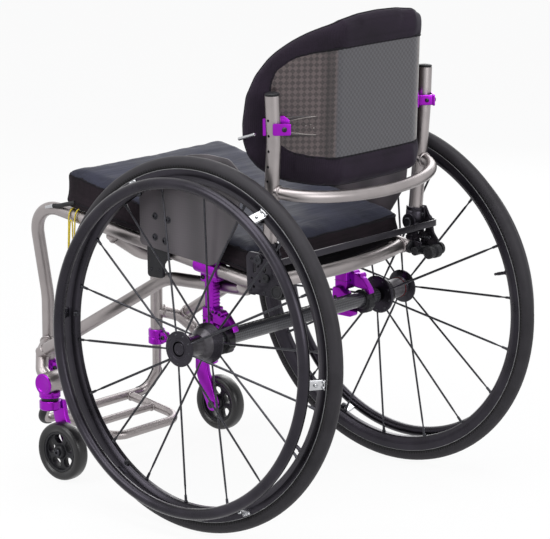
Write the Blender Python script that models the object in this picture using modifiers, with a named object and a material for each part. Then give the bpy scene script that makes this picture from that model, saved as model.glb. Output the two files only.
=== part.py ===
"""A rigid titanium wheelchair with cambered rear wheels, folding backrest and swivel castors.

Metres, +Z up, the sitter faces -Y and the sitter's left is +X. The floor is z = 0.
Sizes along Y are given from the rear axle, and the whole chair is then moved so that
its box is centred over the origin.
"""

import math

import bmesh
import bpy
from mathutils import Matrix, Vector

# Gap between pieces that touch
GAP = 0.0003
# Gap between pieces that turn past each other
RUNNING_GAP = 0.001
# How far welded or cast parts of one piece reach into each other
OVERLAP = 0.002
# How far a cutter reaches past what it cuts
OVERSHOOT = 0.004
EDGE_CHAMFER = 0.001
BEND_STEP = math.radians(16)
FOOT_BEND_STEP = math.radians(18)
WIDE_BEND_STEP = math.radians(22)
FINE_BEND_STEP = math.radians(6)
ROUND_STEPS = 20
SMALL_STEPS = 12
PIN_STEPS = 16

# Half the distance between the seat rails at the back: the chair's width follows from it
RAIL_HALF_SPAN = 0.190

# Rear wheels
TYRE_RADIUS = 0.3045
TYRE_WIDTH = 0.0246
TREAD_WIDTH = 0.008
TYRE_SHOULDER_DROP = 0.005
TYRE_SHOULDER_SHARE = 0.43
TYRE_WIDEST_DROP = 0.012
TYRE_BEAD_SHARE = 0.42
RIM_RADIUS = TYRE_RADIUS - 0.0195
RIM_INNER_RADIUS = RIM_RADIUS - 0.023
RIM_WIDTH = 0.0224
RIM_INNER_WIDTH = 0.011
RIM_WALL_HEIGHT = 0.0105
CAMBER = math.radians(2.4)
CAMBER_TUBE_HALF = RAIL_HALF_SPAN + 0.0205
HALF_TRACK = CAMBER_TUBE_HALF + 0.03875
WHEEL_STEPS = 40
SPOKES = 18
SPOKE_THICKNESS = 0.0022
SPOKE_ROOT_INSET = 0.004
LEFT_SPOKE_START = math.radians(16.8)
RIGHT_SPOKE_START = math.radians(-4.6)
HUB_OUTER_FLANGE = 0.0356
HUB_OUTER_FLANGE_RADIUS = 0.029
HUB_INNER_FLANGE = -0.032
HUB_INNER_FLANGE_RADIUS = 0.033
HUB_FLANGE_THICKNESS = 0.004
# The hub's waist: radius and offset along the axle, outer end first
HUB_WAIST = ((0.0165, 0.0288), (0.018, -0.008), (0.0264, -0.0176))
HUB_RECESS_RADIUS = 0.0125
HUB_RECESS_DEPTH = 0.0075
HUB_STEPS = 20
HANDRIM_RADIUS = RIM_RADIUS - 0.0195
HANDRIM_TUBE = 0.019
HANDRIM_SIDES = 8
HANDRIM_OFFSET = 0.0425
HANDRIM_TABS = 6
HANDRIM_TAB_START = math.radians(27)
TAB_WIDTH = 0.016
TAB_THICKNESS = 0.003
TAB_FOOT_RISE = 0.0045

# Quick-release axles
AXLE_DIAMETER = 0.0127
AXLE_INSERTION = 0.05
BUTTON_RADIUS = 0.0105
BUTTON_THICKNESS = 0.004
BUTTON_TRAVEL = 0.003
BUTTON_STEM_RADIUS = 0.003
BUTTON_STEM_LENGTH = 0.02

# Camber tube, its end collars and the brackets that hang it from the seat rails
CAMBER_TUBE = 0.0254
COLLAR_CENTRE = CAMBER_TUBE_HALF - 0.0315
COLLAR_LENGTH = 0.020
COLLAR_RADIUS = 0.0225
COLLAR_CHAMFER = 0.0015
POST_X = RAIL_HALF_SPAN - 0.0215
POST_Y = -0.0335
POST_WIDTH = 0.017
POST_DEPTH = 0.019
POST_TOP_RISE = 0.006
BRACKET_LUG_REACH = 0.026
BRACKET_LUG_DROP = (0.028, 0.008)
RAIL_CLAMP_Y = -0.020
RAIL_CLAMP_LENGTH = 0.050
RAIL_CLAMP_WALL = 0.0035
LOWER_CLAMP_WALL = 0.0035
TUBE_RING_X = POST_X - 0.010
TUBE_RING_WIDTH = 0.018
TUBE_RING_WALL = 0.006
# Heights on the post from the camber tube's centre line
POST_BOTTOM_RISE = 0.0232
LOWER_CLAMP_RISE = (0.0162, 0.0462)
CLAMP_FOOT_DROP = 0.0288
CLAMP_FOOT_REAR = -0.004
CLAMP_ARM_REAR = 0.008
CLAMP_ARM_CLEARANCE = 0.0015
CLAMP_ARM_THICKNESS = 0.0045
CLAMP_ARM_LAP = (0.006, 0.004)
CLAMP_ARM_SHARE = 0.2

# Main frame tubes
RAIL_TUBE = 0.0222
RAIL_REAR = (RAIL_HALF_SPAN, 0.092, 0.4045)
RAIL_FRONT = (RAIL_HALF_SPAN - 0.004, -0.430, 0.4803)
RAIL_RADIUS = 0.065
LEG_X = RAIL_HALF_SPAN - 0.0535
LEG_TOP = (-0.4515, 0.300)
LEG_BOTTOM = (-0.4536, 0.172)
LEG_RADIUS = 0.100
LEG_BORE_TOP = 0.286
LOWER_TUBE = 0.0222
LOWER_FRONT = (LEG_X + 0.045, -0.4275, 0.209)
LOWER_KNEE = (LEG_X + 0.0165, -0.150, 0.3775)
LOWER_LEVEL = (LEG_X + 0.0075, 0.022, 0.3805)
LOWER_REAR = (RAIL_HALF_SPAN - 0.005, 0.050, 0.398)
LOWER_KNEE_RADIUS = 0.080
LOWER_REAR_RADIUS = 0.030
FRONT_CROSS_TUBE = 0.0222
FRONT_CROSS_Y = -0.245
FRONT_CROSS_END_DROP = 0.0094
FRONT_CROSS_DROP = 0.060
FRONT_CROSS_SHOULDER = RAIL_HALF_SPAN - 0.085
FRONT_CROSS_RADIUS = 0.095
REAR_CROSS_TUBE = 0.0222
REAR_CROSS_Y = 0.078
REAR_CROSS_END = RAIL_HALF_SPAN - 0.007
REAR_CROSS_BULGE = 0.029
REAR_CROSS_DROP = 0.010
REAR_CROSS_POWER = 2.2
REAR_CROSS_STEPS = 14

# Castor wings, castors and forks
WING_TUBE = 0.022
WING_START = (-0.4525, 0.222)
WING_SHOULDER = (LEG_X + 0.0375, -0.431, 0.2085)
WING_SHOULDER_RADIUS = 0.030
WING_ELBOW = (LEG_X + 0.0575, -0.412, 0.183)
WING_ELBOW_RADIUS = 0.020
WING_END_INSET = 0.004
BARREL_DIAMETER = 0.038
BARREL_INNER_X = LEG_X + 0.0291
BARREL_OUTER_X = LEG_X + 0.0782
BARREL_Z = 0.167
BARREL_CAP = 0.003
STEM_X = LEG_X + 0.0648
STEM_Y = -0.3865
STEM_RADIUS = 0.006
STEM_TOP = 0.176
STEM_COLLAR_BOTTOM = 0.1425
STEM_COLLAR_TOP = 0.153
CROWN_RADIUS = 0.0185
CROWN_NECK_RADIUS = 0.013875
CROWN_TOP = 0.137
CROWN_BOTTOM = 0.121
CROWN_CHAMFER = 0.002
CASTOR_RADIUS = 0.0508
CASTOR_WIDTH = 0.027
CASTOR_TREAD_SHARE = 0.45
CASTOR_SHOULDER_SHARE = 0.88
CASTOR_SHOULDER_DROP = 0.0045
CASTOR_HUB_INSET = 0.001
CASTOR_HUB_STEPS = 14
CASTOR_TRAIL = 0.0285
CASTOR_RIM_RADIUS = 0.0355
CASTOR_RIM_WALL = 0.0045
CASTOR_RIM_WIDTH = 0.020
CASTOR_HUB_RADIUS = 0.0115
CASTOR_SPOKES = 5
CASTOR_SPOKE_WIDTH = 0.009
CASTOR_SPOKE_DEPTH = 0.012
CASTOR_STEPS = 24
FORK_ARM_THICKNESS = 0.010
# The fork arm's corners: y from the stem, z from the crown's underside
FORK_ARM_FRONT = ((0.0155, 0.015), (-0.0095, 0.015), (-0.010, -0.006), (-0.0055, -0.024))
FORK_ARM_REAR = ((0.0275, -0.032), (0.0195, -0.012))
FORK_BOSS_RADIUS = 0.012
CASTOR_AXLE_RADIUS = 0.004
CASTOR_AXLE_HEAD = 0.0065
CASTOR_AXLE_PLAY = 0.0005
CASTOR_HEAD_HEIGHT = 0.0035
CASTOR_NUT_HEIGHT = 0.0032

# Footrest
HANGER_TUBE = 0.0165
HANGER_TOP = 0.240
HANGER_KNEE_Z = 0.108
FOOT_FRONT_Y = -0.481
FOOT_FRONT_Z = 0.0678
FOOT_CORNER_RADIUS = 0.028
FOOT_RAIL_TUBE = 0.016
FOOT_RAIL_X = LEG_X - 0.0495
FOOT_REAR_Y = -0.349
FOOT_REAR_Z = 0.0485
FOOT_REAR_RADIUS = 0.036
FOOT_MIDDLE_Y = -0.4165
FOOT_CLAMP_WALL = 0.0042
FOOT_CLAMP_TOP = 0.187
FOOT_CLAMP_BOTTOM = 0.160
FOOT_CLAMP_LUG = 0.013
FOOT_CLAMP_LUG_REACH = 0.014
FOOT_CLAMP_LUG_TRIM = (0.005, 0.004)
FOOT_BOLT_RADIUS = 0.005
FOOT_BOLT_Y = 0.006
FOOT_BOLT_REACH = 0.004

# Backrest
HINGE_Y = 0.104
HINGE_Z = 0.452
HINGE_PIN_RADIUS = 0.004
HINGE_HEAD_RADIUS = 0.0075
HINGE_HEAD_HEIGHT = 0.003
HINGE_TAIL_HEIGHT = 0.004
BACK_POST_TUBE = 0.0235
BACK_POST_X = RAIL_HALF_SPAN - 0.004
BACK_POST_FOOT = (BACK_POST_X, 0.1065, 0.4750)
BACK_POST_KNEE = (BACK_POST_X + 0.0025, 0.1265, 0.640)
BACK_POST_TOP = (BACK_POST_X + 0.0085, 0.1240, 0.7125)
BACK_POST_RADIUS = 0.150
PUSH_BAR_TUBE = 0.0222
PUSH_BAR_END = (0.1165, 0.5605)
PUSH_BAR_REACH = 0.083
PUSH_BAR_SAG = 0.0155
PUSH_BAR_STEPS = 15
SOCKET_RADIUS = 0.0155
SOCKET_TOP = 0.500
SOCKET_DEPTH = 0.022
LUG_RADIUS = 0.014
LUG_INNER_X = RAIL_HALF_SPAN - 0.020
PLATE_INNER_X = RAIL_HALF_SPAN + 0.0116
PLATE_THICKNESS = 0.005
PLATE_OUTLINE = (
    (0.074, 0.454),
    (0.126, 0.4615),
    (0.129, 0.432),
    (0.137, 0.418),
    (0.133, 0.3885),
    (0.076, 0.3950),
)
PLATE_CLAMP_Y = (0.0745, 0.0885)
PLATE_CLAMP_Z = (0.3915, 0.421)
PLATE_SLOT_Y = 0.0905
PLATE_SLOT_Z = (0.4285, 0.4445)
PLATE_SLOT_WIDTH = 0.005
PLATE_BLOCK_LAP = 0.0005
KNOB_RADIUS = 0.0115
KNOB_PLACE = (0.1235, 0.4005)
KNOB_INNER_X = RAIL_HALF_SPAN - 0.014
RELEASE_ARM_GAP = 0.0006
RELEASE_BAR_THICKNESS = 0.003
RELEASE_BAR_HEIGHT = 0.011
RELEASE_BAR_Y = 0.135
RELEASE_BAR_Z = 0.4495
RELEASE_BAR_RADIUS = 0.012
RELEASE_EYE_RADIUS = 0.0085

# Back shell and back pad, unrolled: s runs round the back from the middle, z is height
SHELL_BACK_Y = 0.176
SHELL_FLAT_HALF = RAIL_HALF_SPAN - 0.083
SHELL_WING_ANGLE = math.radians(45)
SHELL_RADIUS = 0.045
SHELL_LEAN = 0.04
SHELL_THICKNESS = 0.003
SHELL_HALF_WIDTH = RAIL_HALF_SPAN + 0.017
SHELL_MIDDLE_Z = 0.692
SHELL_HALF_UP = 0.087
SHELL_HALF_DOWN = 0.086
SHELL_POWER = 4.0
SHELL_COLUMNS = 14
SHELL_ROWS = 6
PAD_HALF_WIDTH = RAIL_HALF_SPAN + 0.059
PAD_MIDDLE_Z = 0.6645
PAD_HALF_UP = 0.1685
PAD_HALF_DOWN = 0.1085
PAD_POWER_UP = 2.3
PAD_POWER_DOWN = 3.0
PAD_THICKNESS = 0.044
PAD_EDGE = 0.016
PAD_CROWN_POWER = 4.0
PAD_LIP = 0.002
PAD_LIP_SHARE = 0.99
PAD_REAR_EDGE = 0.003
PAD_CHANNEL_WIDTH = 0.012
PAD_CHANNEL_DEPTH = 0.004
PAD_COLUMNS = 16
PAD_ROWS = 12
BRACKET_Z = 0.6605
BRACKET_HEIGHT = 0.026
BRACKET_WALL = 0.0038
BRACKET_TAB = 0.004
BRACKET_TAB_S = (RAIL_HALF_SPAN - 0.042, RAIL_HALF_SPAN + 0.006)
BRACKET_STEM = 0.012
BRACKET_STEM_SHARE = 0.9

# Seat
CUSHION_HALF_WIDTH = RAIL_HALF_SPAN + 0.010
CUSHION_FRONT_Y = -0.350
CUSHION_REAR_Y = 0.068
CUSHION_THICKNESS = 0.064
CUSHION_SIDE_POWER = 9.0
CUSHION_CROWN_POWER = 4.0
CUSHION_DISH = 0.006
# The dish's middle and spread, as shares of the cushion's half width and half length
CUSHION_DISH_MIDDLE = 0.45
CUSHION_DISH_SPREAD = (0.45, 0.5)
CUSHION_DRAW_IN = 0.006
CUSHION_SIDE = 0.004
CUSHION_BOTTOM_FULLNESS = 1.6
CUSHION_CHANNELS = (-0.42, 0.2)
CUSHION_CHANNEL_WIDTH = 0.09
CUSHION_CHANNEL_DEPTH = 0.004
CUSHION_GRID = 14
SLING_FRONT_Y = -0.375
SLING_REAR_Y = 0.062
SLING_THICKNESS = 0.003
SLING_SAG = 0.014
SLING_RISE = 0.006
SLING_NOTCH = 0.0015
SLING_COLUMNS = 10
SLING_ROWS = 4
GUARD_INNER_X = RAIL_HALF_SPAN + 0.0215
GUARD_THICKNESS = 0.003
GUARD_OUTLINE = (
    (-0.150, 0.445),
    (0.0135, 0.428),
    (0.064, 0.503),
    (0.073, 0.586),
    (0.048, 0.607),
    (0.001, 0.610),
    (-0.035, 0.6055),
    (-0.070, 0.5955),
    (-0.110, 0.578),
    (-0.150, 0.552),
)
GUARD_MOUNT_Y = (-0.138, -0.104)
GUARD_MOUNT_Z = (0.4185, 0.4455)
GUARD_PLATE_Y = (-0.138, -0.092)
GUARD_PLATE_Z = (0.392, 0.498)
GUARD_PLATE_THICKNESS = 0.0075
GUARD_MOUNT_WALL = 0.004
VALVE_HOSE = 0.008
VALVE_TIP = 0.0055
# The hose's way forward at each y, with its offsets from the rail's centre line
VALVE_ROUTE = (
    (0.0056, -0.3215, 0.0244),
    (0.0095, -0.3380, 0.0177),
    (0.0110, -0.3540, 0.0112),
    (0.0133, -0.3660, 0.0081),
)
VALVE_TIP_END = (RAIL_HALF_SPAN + 0.0108, -0.3830, 0.4748)
PULL_CORD = 0.0026
PULL_CORD_Y = -0.3283
PULL_CORD_POINTS = 34
# The cord's two loops, from the rail's centre line at that place
PULL_CORD_ROUTE = (
    (-0.0034, 0.0, 0.0128),
    (0.0023, 0.0, 0.0132),
    (0.0077, -0.0002, 0.0110),
    (0.0116, -0.0004, 0.0068),
    (0.0134, -0.0006, 0.0010),
    (0.0138, -0.0010, -0.0120),
    (0.0140, -0.0020, -0.0340),
    (0.0142, -0.0030, -0.0530),
    (0.0148, -0.0026, -0.0590),
    (0.0158, -0.0008, -0.0600),
    (0.0164, 0.0008, -0.0540),
    (0.0160, 0.0020, -0.0340),
    (0.0154, 0.0034, -0.0120),
    (0.0150, 0.0050, -0.0045),
    (0.0150, 0.0070, -0.0035),
    (0.0150, 0.0086, -0.0090),
    (0.0148, 0.0090, -0.0220),
    (0.0146, 0.0084, -0.0340),
    (0.0148, 0.0092, -0.0400),
    (0.0152, 0.0114, -0.0410),
    (0.0152, 0.0132, -0.0350),
    (0.0148, 0.0138, -0.0200),
    (0.0142, 0.0142, -0.0060),
    (0.0136, 0.0144, 0.0020),
    (0.0114, 0.0146, 0.0076),
    (0.0075, 0.0147, 0.0116),
    (0.0021, 0.0148, 0.0136),
    (-0.0036, 0.0148, 0.0132),
)

SIDES = {"left": 1, "right": -1}

# The foremost point is the front of the footrest, the rearmost is the back of a tyre
CHAIR_SHIFT = -(FOOT_FRONT_Y - HANGER_TUBE / 2 + TYRE_RADIUS) / 2


def clear_scene():
    """Removes what the scene holds, so that the chair is built in an empty one."""
    for old in list(bpy.data.objects):
        bpy.data.objects.remove(old, do_unlink=True)


def new_collection(name, hidden=False):
    collection = bpy.data.collections.new(name)
    collection.hide_render = hidden
    bpy.context.scene.collection.children.link(collection)
    return collection


clear_scene()
CHAIR = new_collection("titanium_wheelchair")
CUTTERS = new_collection("cutters", hidden=True)


def linear(hex_colour):
    """The linear colour of an sRGB hex colour."""
    shades = [int(hex_colour[i : i + 2], 16) / 255 for i in (1, 3, 5)]
    return [s / 12.92 if s <= 0.04045 else ((s + 0.055) / 1.055) ** 2.4 for s in shades] + [1.0]


def material(name, hex_colour, metallic, roughness):
    made = bpy.data.materials.new(name)
    made.use_nodes = True
    surface = made.node_tree.nodes["Principled BSDF"]
    surface.inputs["Base Color"].default_value = linear(hex_colour)
    surface.inputs["Metallic"].default_value = metallic
    surface.inputs["Roughness"].default_value = roughness
    made.diffuse_color = linear(hex_colour)
    return made


TITANIUM = material("brushed_titanium", "#A39C96", 1.0, 0.38)
PURPLE = material("purple_anodised", "#9A22B4", 0.9, 0.35)
BLACK_METAL = material("black_anodised", "#2B2A2E", 0.9, 0.45)
SILVER = material("machined_steel", "#B9BABD", 1.0, 0.25)
CARBON = material("carbon_tube", "#38373B", 0.2, 0.35)
BLACK_PLASTIC = material("black_plastic", "#252428", 0.0, 0.45)
TYRE_RUBBER = material("tyre_rubber", "#262529", 0.0, 0.8)
GUARD_PLASTIC = material("guard_carbon", "#46444A", 0.0, 0.5)
SHELL_CARBON = material("shell_carbon", "#55504F", 0.1, 0.35)
FABRIC = material("stretch_fabric", "#23242E", 0.0, 0.9)
WEBBING = material("sling_fabric", "#1C1B1F", 0.0, 0.9)
YELLOW = material("yellow_cord", "#D8C23A", 0.0, 0.8)

CHAIR_FRAME = bpy.data.objects.new("chair_frame", None)
CHAIR_FRAME.location = (0, CHAIR_SHIFT, 0)
CHAIR.objects.link(CHAIR_FRAME)


def joint_axis(name, place, turn=0.0):
    """An empty on a joint's axis. turn swings its Z axis from up towards +X."""
    empty = bpy.data.objects.new(name, None)
    empty.location = place
    empty.rotation_euler = (0, turn, 0)
    empty.parent = CHAIR_FRAME
    CHAIR.objects.link(empty)
    return empty


def finish(obj, surface, carrier=None, local=False, smooth=True):
    """Gives a piece its finish and hangs it on its carrier, in the chair's place or its own."""
    obj.data.materials.clear()
    obj.data.materials.append(surface)
    if obj.name not in CHAIR.objects:
        CHAIR.objects.link(obj)
    obj.parent = carrier or CHAIR_FRAME
    if carrier and not local:
        obj.matrix_parent_inverse = carrier.matrix_basis.inverted()
    if smooth:
        obj.data.shade_smooth()
        obj.data.set_sharp_from_angle(angle=math.radians(35))
    return obj


def as_cutter(obj, target):
    """Hides a helper solid and lets it follow the piece that it shapes."""
    if obj.name not in CUTTERS.objects:
        CUTTERS.objects.link(obj)
    obj.hide_render = True
    obj.display_type = "WIRE"
    obj.parent = target.parent
    obj.matrix_parent_inverse = target.matrix_parent_inverse
    return obj


def shape(target, helper, operation):
    """Cuts a helper from a piece, or joins it on, after the piece is finished."""
    as_cutter(helper, target)
    modifier = target.modifiers.new(helper.name, "BOOLEAN")
    modifier.operation = operation
    modifier.object = helper


def cut(target, *helpers):
    for helper in helpers:
        shape(target, helper, "DIFFERENCE")


def join(target, *helpers):
    for helper in helpers:
        shape(target, helper, "UNION")


def object_of(name, mesh):
    return bpy.data.objects.new(name, mesh)


def mesh_from(name, build):
    """A mesh object that build shapes in bmesh."""
    mesh = bpy.data.meshes.new(name)
    shaped = bmesh.new()
    build(shaped)
    bmesh.ops.recalc_face_normals(shaped, faces=shaped.faces)
    shaped.to_mesh(mesh)
    shaped.free()
    return object_of(name, mesh)


def box(name, low, high, turn=None, about=None):
    """A box between two corners, which may be turned about a point."""
    middle = (Vector(low) + Vector(high)) / 2
    size = Vector(high) - Vector(low)

    def build(shaped):
        bmesh.ops.create_cube(shaped, size=1)
        bmesh.ops.scale(shaped, vec=size, verts=shaped.verts)
        bmesh.ops.translate(shaped, vec=middle, verts=shaped.verts)
        if turn:
            bmesh.ops.rotate(shaped, cent=Vector(about), matrix=turn, verts=shaped.verts)

    return mesh_from(name, build)


def side_box(name, side, x_range, y_range, z_range, **turned_by):
    """A box given for the left side, mirrored for the right."""
    xs = sorted(side * x for x in x_range)
    low = (xs[0], y_range[0], z_range[0])
    high = (xs[1], y_range[1], z_range[1])
    return box(name, low, high, **turned_by)


def rod(name, start, end, radius, sides=16):
    """A cylinder between two points, its flats at the radius."""
    start = Vector(start)
    along = Vector(end) - start
    turn = Vector((0, 0, 1)).rotation_difference(along).to_matrix()

    def build(shaped):
        bmesh.ops.create_cone(
            shaped,
            cap_ends=True,
            segments=sides,
            radius1=radius / math.cos(math.pi / sides),
            radius2=radius / math.cos(math.pi / sides),
            depth=along.length,
        )
        bmesh.ops.translate(shaped, vec=(0, 0, along.length / 2), verts=shaped.verts)
        bmesh.ops.rotate(shaped, cent=(0, 0, 0), matrix=turn, verts=shaped.verts)
        bmesh.ops.translate(shaped, vec=start, verts=shaped.verts)

    return mesh_from(name, build)


def turned(name, profile, steps, closed=True):
    """A solid turned about Z, with a flat facet towards +X and -X.

    The profile holds (radius, height) pairs down the outer side. A closed profile is a ring.
    """
    widen = 1 / math.cos(math.pi / steps)
    half_step = math.pi / steps
    mesh = bpy.data.meshes.new(name)
    shaped = bmesh.new()
    points = [
        shaped.verts.new(
            (r * widen * math.cos(half_step), r * widen * math.sin(half_step), z)
        )
        for r, z in profile
    ]
    for first, second in zip(points, points[1:]):
        shaped.edges.new((first, second))
    if closed:
        shaped.edges.new((points[-1], points[0]))
    shaped.to_mesh(mesh)
    shaped.free()
    obj = object_of(name, mesh)
    screw = obj.modifiers.new("turned", "SCREW")
    screw.steps = steps
    screw.render_steps = steps
    screw.use_merge_vertices = True
    screw.merge_threshold = 0.00001
    return obj


def along_x(obj, side, x=0.0, y=0.0, z=0.0, turn=math.radians(90)):
    """Lays a turned solid's axis along X, its +Z end outboard."""
    obj.rotation_euler = (0, side * turn, 0)
    obj.location = (side * x, y, z)
    return obj


def plate(name, outline, x_inner, thickness, side):
    """A flat plate across X, from an outline of (y, z) corners on its inner face."""
    curve = bpy.data.curves.new(name, "CURVE")
    curve.dimensions = "2D"
    curve.fill_mode = "BOTH"
    curve.extrude = thickness / 2
    spline = curve.splines.new("POLY")
    spline.points.add(len(outline) - 1)
    for point, (y, z) in zip(spline.points, outline):
        point.co = (y, z, 0, 1)
    spline.use_cyclic_u = True
    flat = object_of(name + "_outline", curve)
    turn = Matrix(((0, 0, 1), (1, 0, 0), (0, 1, 0))).to_4x4()
    place = Matrix.Translation((side * (x_inner + thickness / 2), 0, 0))
    return solid_of(flat, name, place @ turn)


def solid_of(curve_object, name, transform=None):
    """Makes a mesh of a curve, with its caps welded on."""
    bpy.context.scene.collection.objects.link(curve_object)
    bpy.context.view_layer.update()
    graph = bpy.context.evaluated_depsgraph_get()
    mesh = bpy.data.meshes.new_from_object(curve_object.evaluated_get(graph))
    data = curve_object.data
    bpy.data.objects.remove(curve_object)
    bpy.data.curves.remove(data)
    mesh.name = name
    shaped = bmesh.new()
    shaped.from_mesh(mesh)
    bmesh.ops.remove_doubles(shaped, verts=shaped.verts, dist=0.00001)
    if transform:
        shaped.transform(transform)
    bmesh.ops.recalc_face_normals(shaped, faces=shaped.faces)
    shaped.to_mesh(mesh)
    shaped.free()
    return object_of(name, mesh)


def tube(name, points, diameter, sides=10, clearance=0.0):
    """A round bar along a list of points, with flat ends. sides is 4, 6, 8, 10 or 12.

    A clearance makes it the cutter for a bar of the same points, diameter and sides.
    """
    curve = bpy.data.curves.new(name, "CURVE")
    curve.dimensions = "3D"
    curve.bevel_depth = diameter / 2 + clearance / math.cos(math.pi / sides)
    curve.bevel_resolution = (sides - 4) // 2
    curve.use_fill_caps = True
    spline = curve.splines.new("POLY")
    spline.points.add(len(points) - 1)
    for point, place in zip(spline.points, points):
        point.co = (*place, 1)
    return solid_of(object_of(name + "_route", curve), name)


def bent(corners, radii, step=BEND_STEP):
    """A route through corners, each inner corner rounded to its bend radius."""
    corners = [Vector(corner) for corner in corners]
    route = [corners[0]]
    for before, corner, after, radius in zip(corners, corners[1:], corners[2:], radii):
        into = (corner - before).normalized()
        out = (after - corner).normalized()
        angle = into.angle(out)
        setback = radius * math.tan(angle / 2)
        centre = corner + (out - into).normalized() * radius / math.cos(angle / 2)
        start = corner - into * setback - centre
        axis = into.cross(out).normalized()
        pieces = max(2, round(angle / step))
        for i in range(pieces + 1):
            route.append(centre + Matrix.Rotation(angle * i / pieces, 3, axis) @ start)
    route.append(corners[-1])
    return route


def mirrored(points, side):
    return [(side * x, y, z) for x, y, z in points]


def smooth_route(points, count):
    """Reads evenly spaced points from a smooth curve through the given ones."""
    knots = [Vector(point) for point in points]
    knots = [knots[0] * 2 - knots[1]] + knots + [knots[-1] * 2 - knots[-2]]
    fine = []
    pieces = 12
    for a, b, c, d in zip(knots, knots[1:], knots[2:], knots[3:]):
        for i in range(pieces):
            t = i / pieces
            spot = 2 * b + (c - a) * t + (2 * a - 5 * b + 4 * c - d) * t * t
            fine.append((spot + (3 * b - a - 3 * c + d) * t * t * t) / 2)
    fine.append(knots[-2])
    lengths = [0.0]
    for first, second in zip(fine, fine[1:]):
        lengths.append(lengths[-1] + (second - first).length)
    route = []
    at = 0
    for i in range(count):
        want = lengths[-1] * i / (count - 1)
        while at < len(fine) - 2 and lengths[at + 1] < want:
            at += 1
        part = (want - lengths[at]) / (lengths[at + 1] - lengths[at])
        route.append(fine[at].lerp(fine[at + 1], min(part, 1.0)))
    return route


def rail_z(y):
    """Height of the seat rails' centre line at y, on their straight stretch."""
    part = (y - RAIL_REAR[1]) / (RAIL_FRONT[1] - RAIL_REAR[1])
    return RAIL_REAR[2] + part * (RAIL_FRONT[2] - RAIL_REAR[2])


def rail_x(y):
    part = (y - RAIL_REAR[1]) / (RAIL_FRONT[1] - RAIL_REAR[1])
    return RAIL_REAR[0] + part * (RAIL_FRONT[0] - RAIL_REAR[0])


RAIL_DIRECTION = (Vector(RAIL_FRONT) - Vector(RAIL_REAR)).normalized()
RAIL_SLOPE = math.atan2(RAIL_FRONT[2] - RAIL_REAR[2], RAIL_REAR[1] - RAIL_FRONT[1])


def leg_y(z):
    """Y of the front legs' straight lower stretch at height z, which the hangers follow."""
    part = (z - LEG_BOTTOM[1]) / (LEG_TOP[1] - LEG_BOTTOM[1])
    return LEG_BOTTOM[0] + part * (LEG_TOP[0] - LEG_BOTTOM[0])


def rail_route(side, extra=0.0):
    """The seat rail and front leg, from the rear end to the leg's foot, or a little past both."""
    rear = Vector(RAIL_REAR) - RAIL_DIRECTION * extra
    foot = LEG_BOTTOM[1] - extra
    corners = [rear, RAIL_FRONT, (LEG_X, *LEG_TOP), (LEG_X, leg_y(foot), foot)]
    return mirrored(bent(corners, [RAIL_RADIUS, LEG_RADIUS]), side)


def rail_cutter(name, side):
    """The whole rail, a little wider, to cut what fits round it or is coped to it."""
    return tube(name, rail_route(side, GAP), RAIL_TUBE, clearance=GAP)


def hanger_route(top):
    """The footrest's bent tube, from the left hanger's top round to the right one's."""
    half_route = [
        (LEG_X, leg_y(top), top),
        (LEG_X, leg_y(HANGER_KNEE_Z), HANGER_KNEE_Z),
        (LEG_X, FOOT_FRONT_Y, FOOT_FRONT_Z),
    ]
    corners = half_route + mirrored(reversed(half_route), -1)
    return bent(corners, [FOOT_CORNER_RADIUS] * 4, step=FOOT_BEND_STEP)


def hanger_cutter(name):
    """The footrest's tube, a little wider and up to the end of the legs' bores."""
    return tube(name, hanger_route(LEG_BORE_TOP), HANGER_TUBE, sides=8, clearance=GAP)


def seat_rail(word, side):
    """The seat rail and front leg, one bent tube that the footrest hanger slides in."""
    rail = finish(tube(f"seat_rail_{word}", rail_route(side), RAIL_TUBE), TITANIUM)
    cut(rail, hanger_cutter(f"{rail.name}_bore"))


def lower_frame(word, side):
    """The lower tube, the castor wing and the castor barrel, welded into one."""
    name = f"lower_frame_{word}"
    route = bent(
        [LOWER_FRONT, LOWER_KNEE, LOWER_LEVEL, LOWER_REAR],
        [LOWER_KNEE_RADIUS, LOWER_REAR_RADIUS],
    )
    frame = finish(tube(name, mirrored(route, side), LOWER_TUBE), TITANIUM)
    wing = bent(
        [
            (LEG_X, *WING_START),
            WING_SHOULDER,
            WING_ELBOW,
            (STEM_X - WING_END_INSET, STEM_Y, BARREL_Z),
        ],
        [WING_SHOULDER_RADIUS, WING_ELBOW_RADIUS],
        step=WIDE_BEND_STEP,
    )
    barrel = turned(
        f"{name}_barrel",
        [
            (0, BARREL_OUTER_X - BARREL_INNER_X),
            (BARREL_DIAMETER / 2, BARREL_OUTER_X - BARREL_INNER_X),
            (BARREL_DIAMETER / 2, 0),
            (0, 0),
        ],
        ROUND_STEPS,
        closed=False,
    )
    along_x(barrel, side, BARREL_INNER_X, STEM_Y, BARREL_Z)
    join(frame, tube(f"{name}_wing", mirrored(wing, side), WING_TUBE), barrel)
    stem = rod(
        f"{name}_stem_bore",
        (side * STEM_X, STEM_Y, BARREL_Z - BARREL_DIAMETER),
        (side * STEM_X, STEM_Y, STEM_TOP + RUNNING_GAP),
        STEM_RADIUS + GAP,
        sides=SMALL_STEPS,
    )
    cut(frame, rail_cutter(f"{name}_rail_cut", side), stem)


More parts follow.
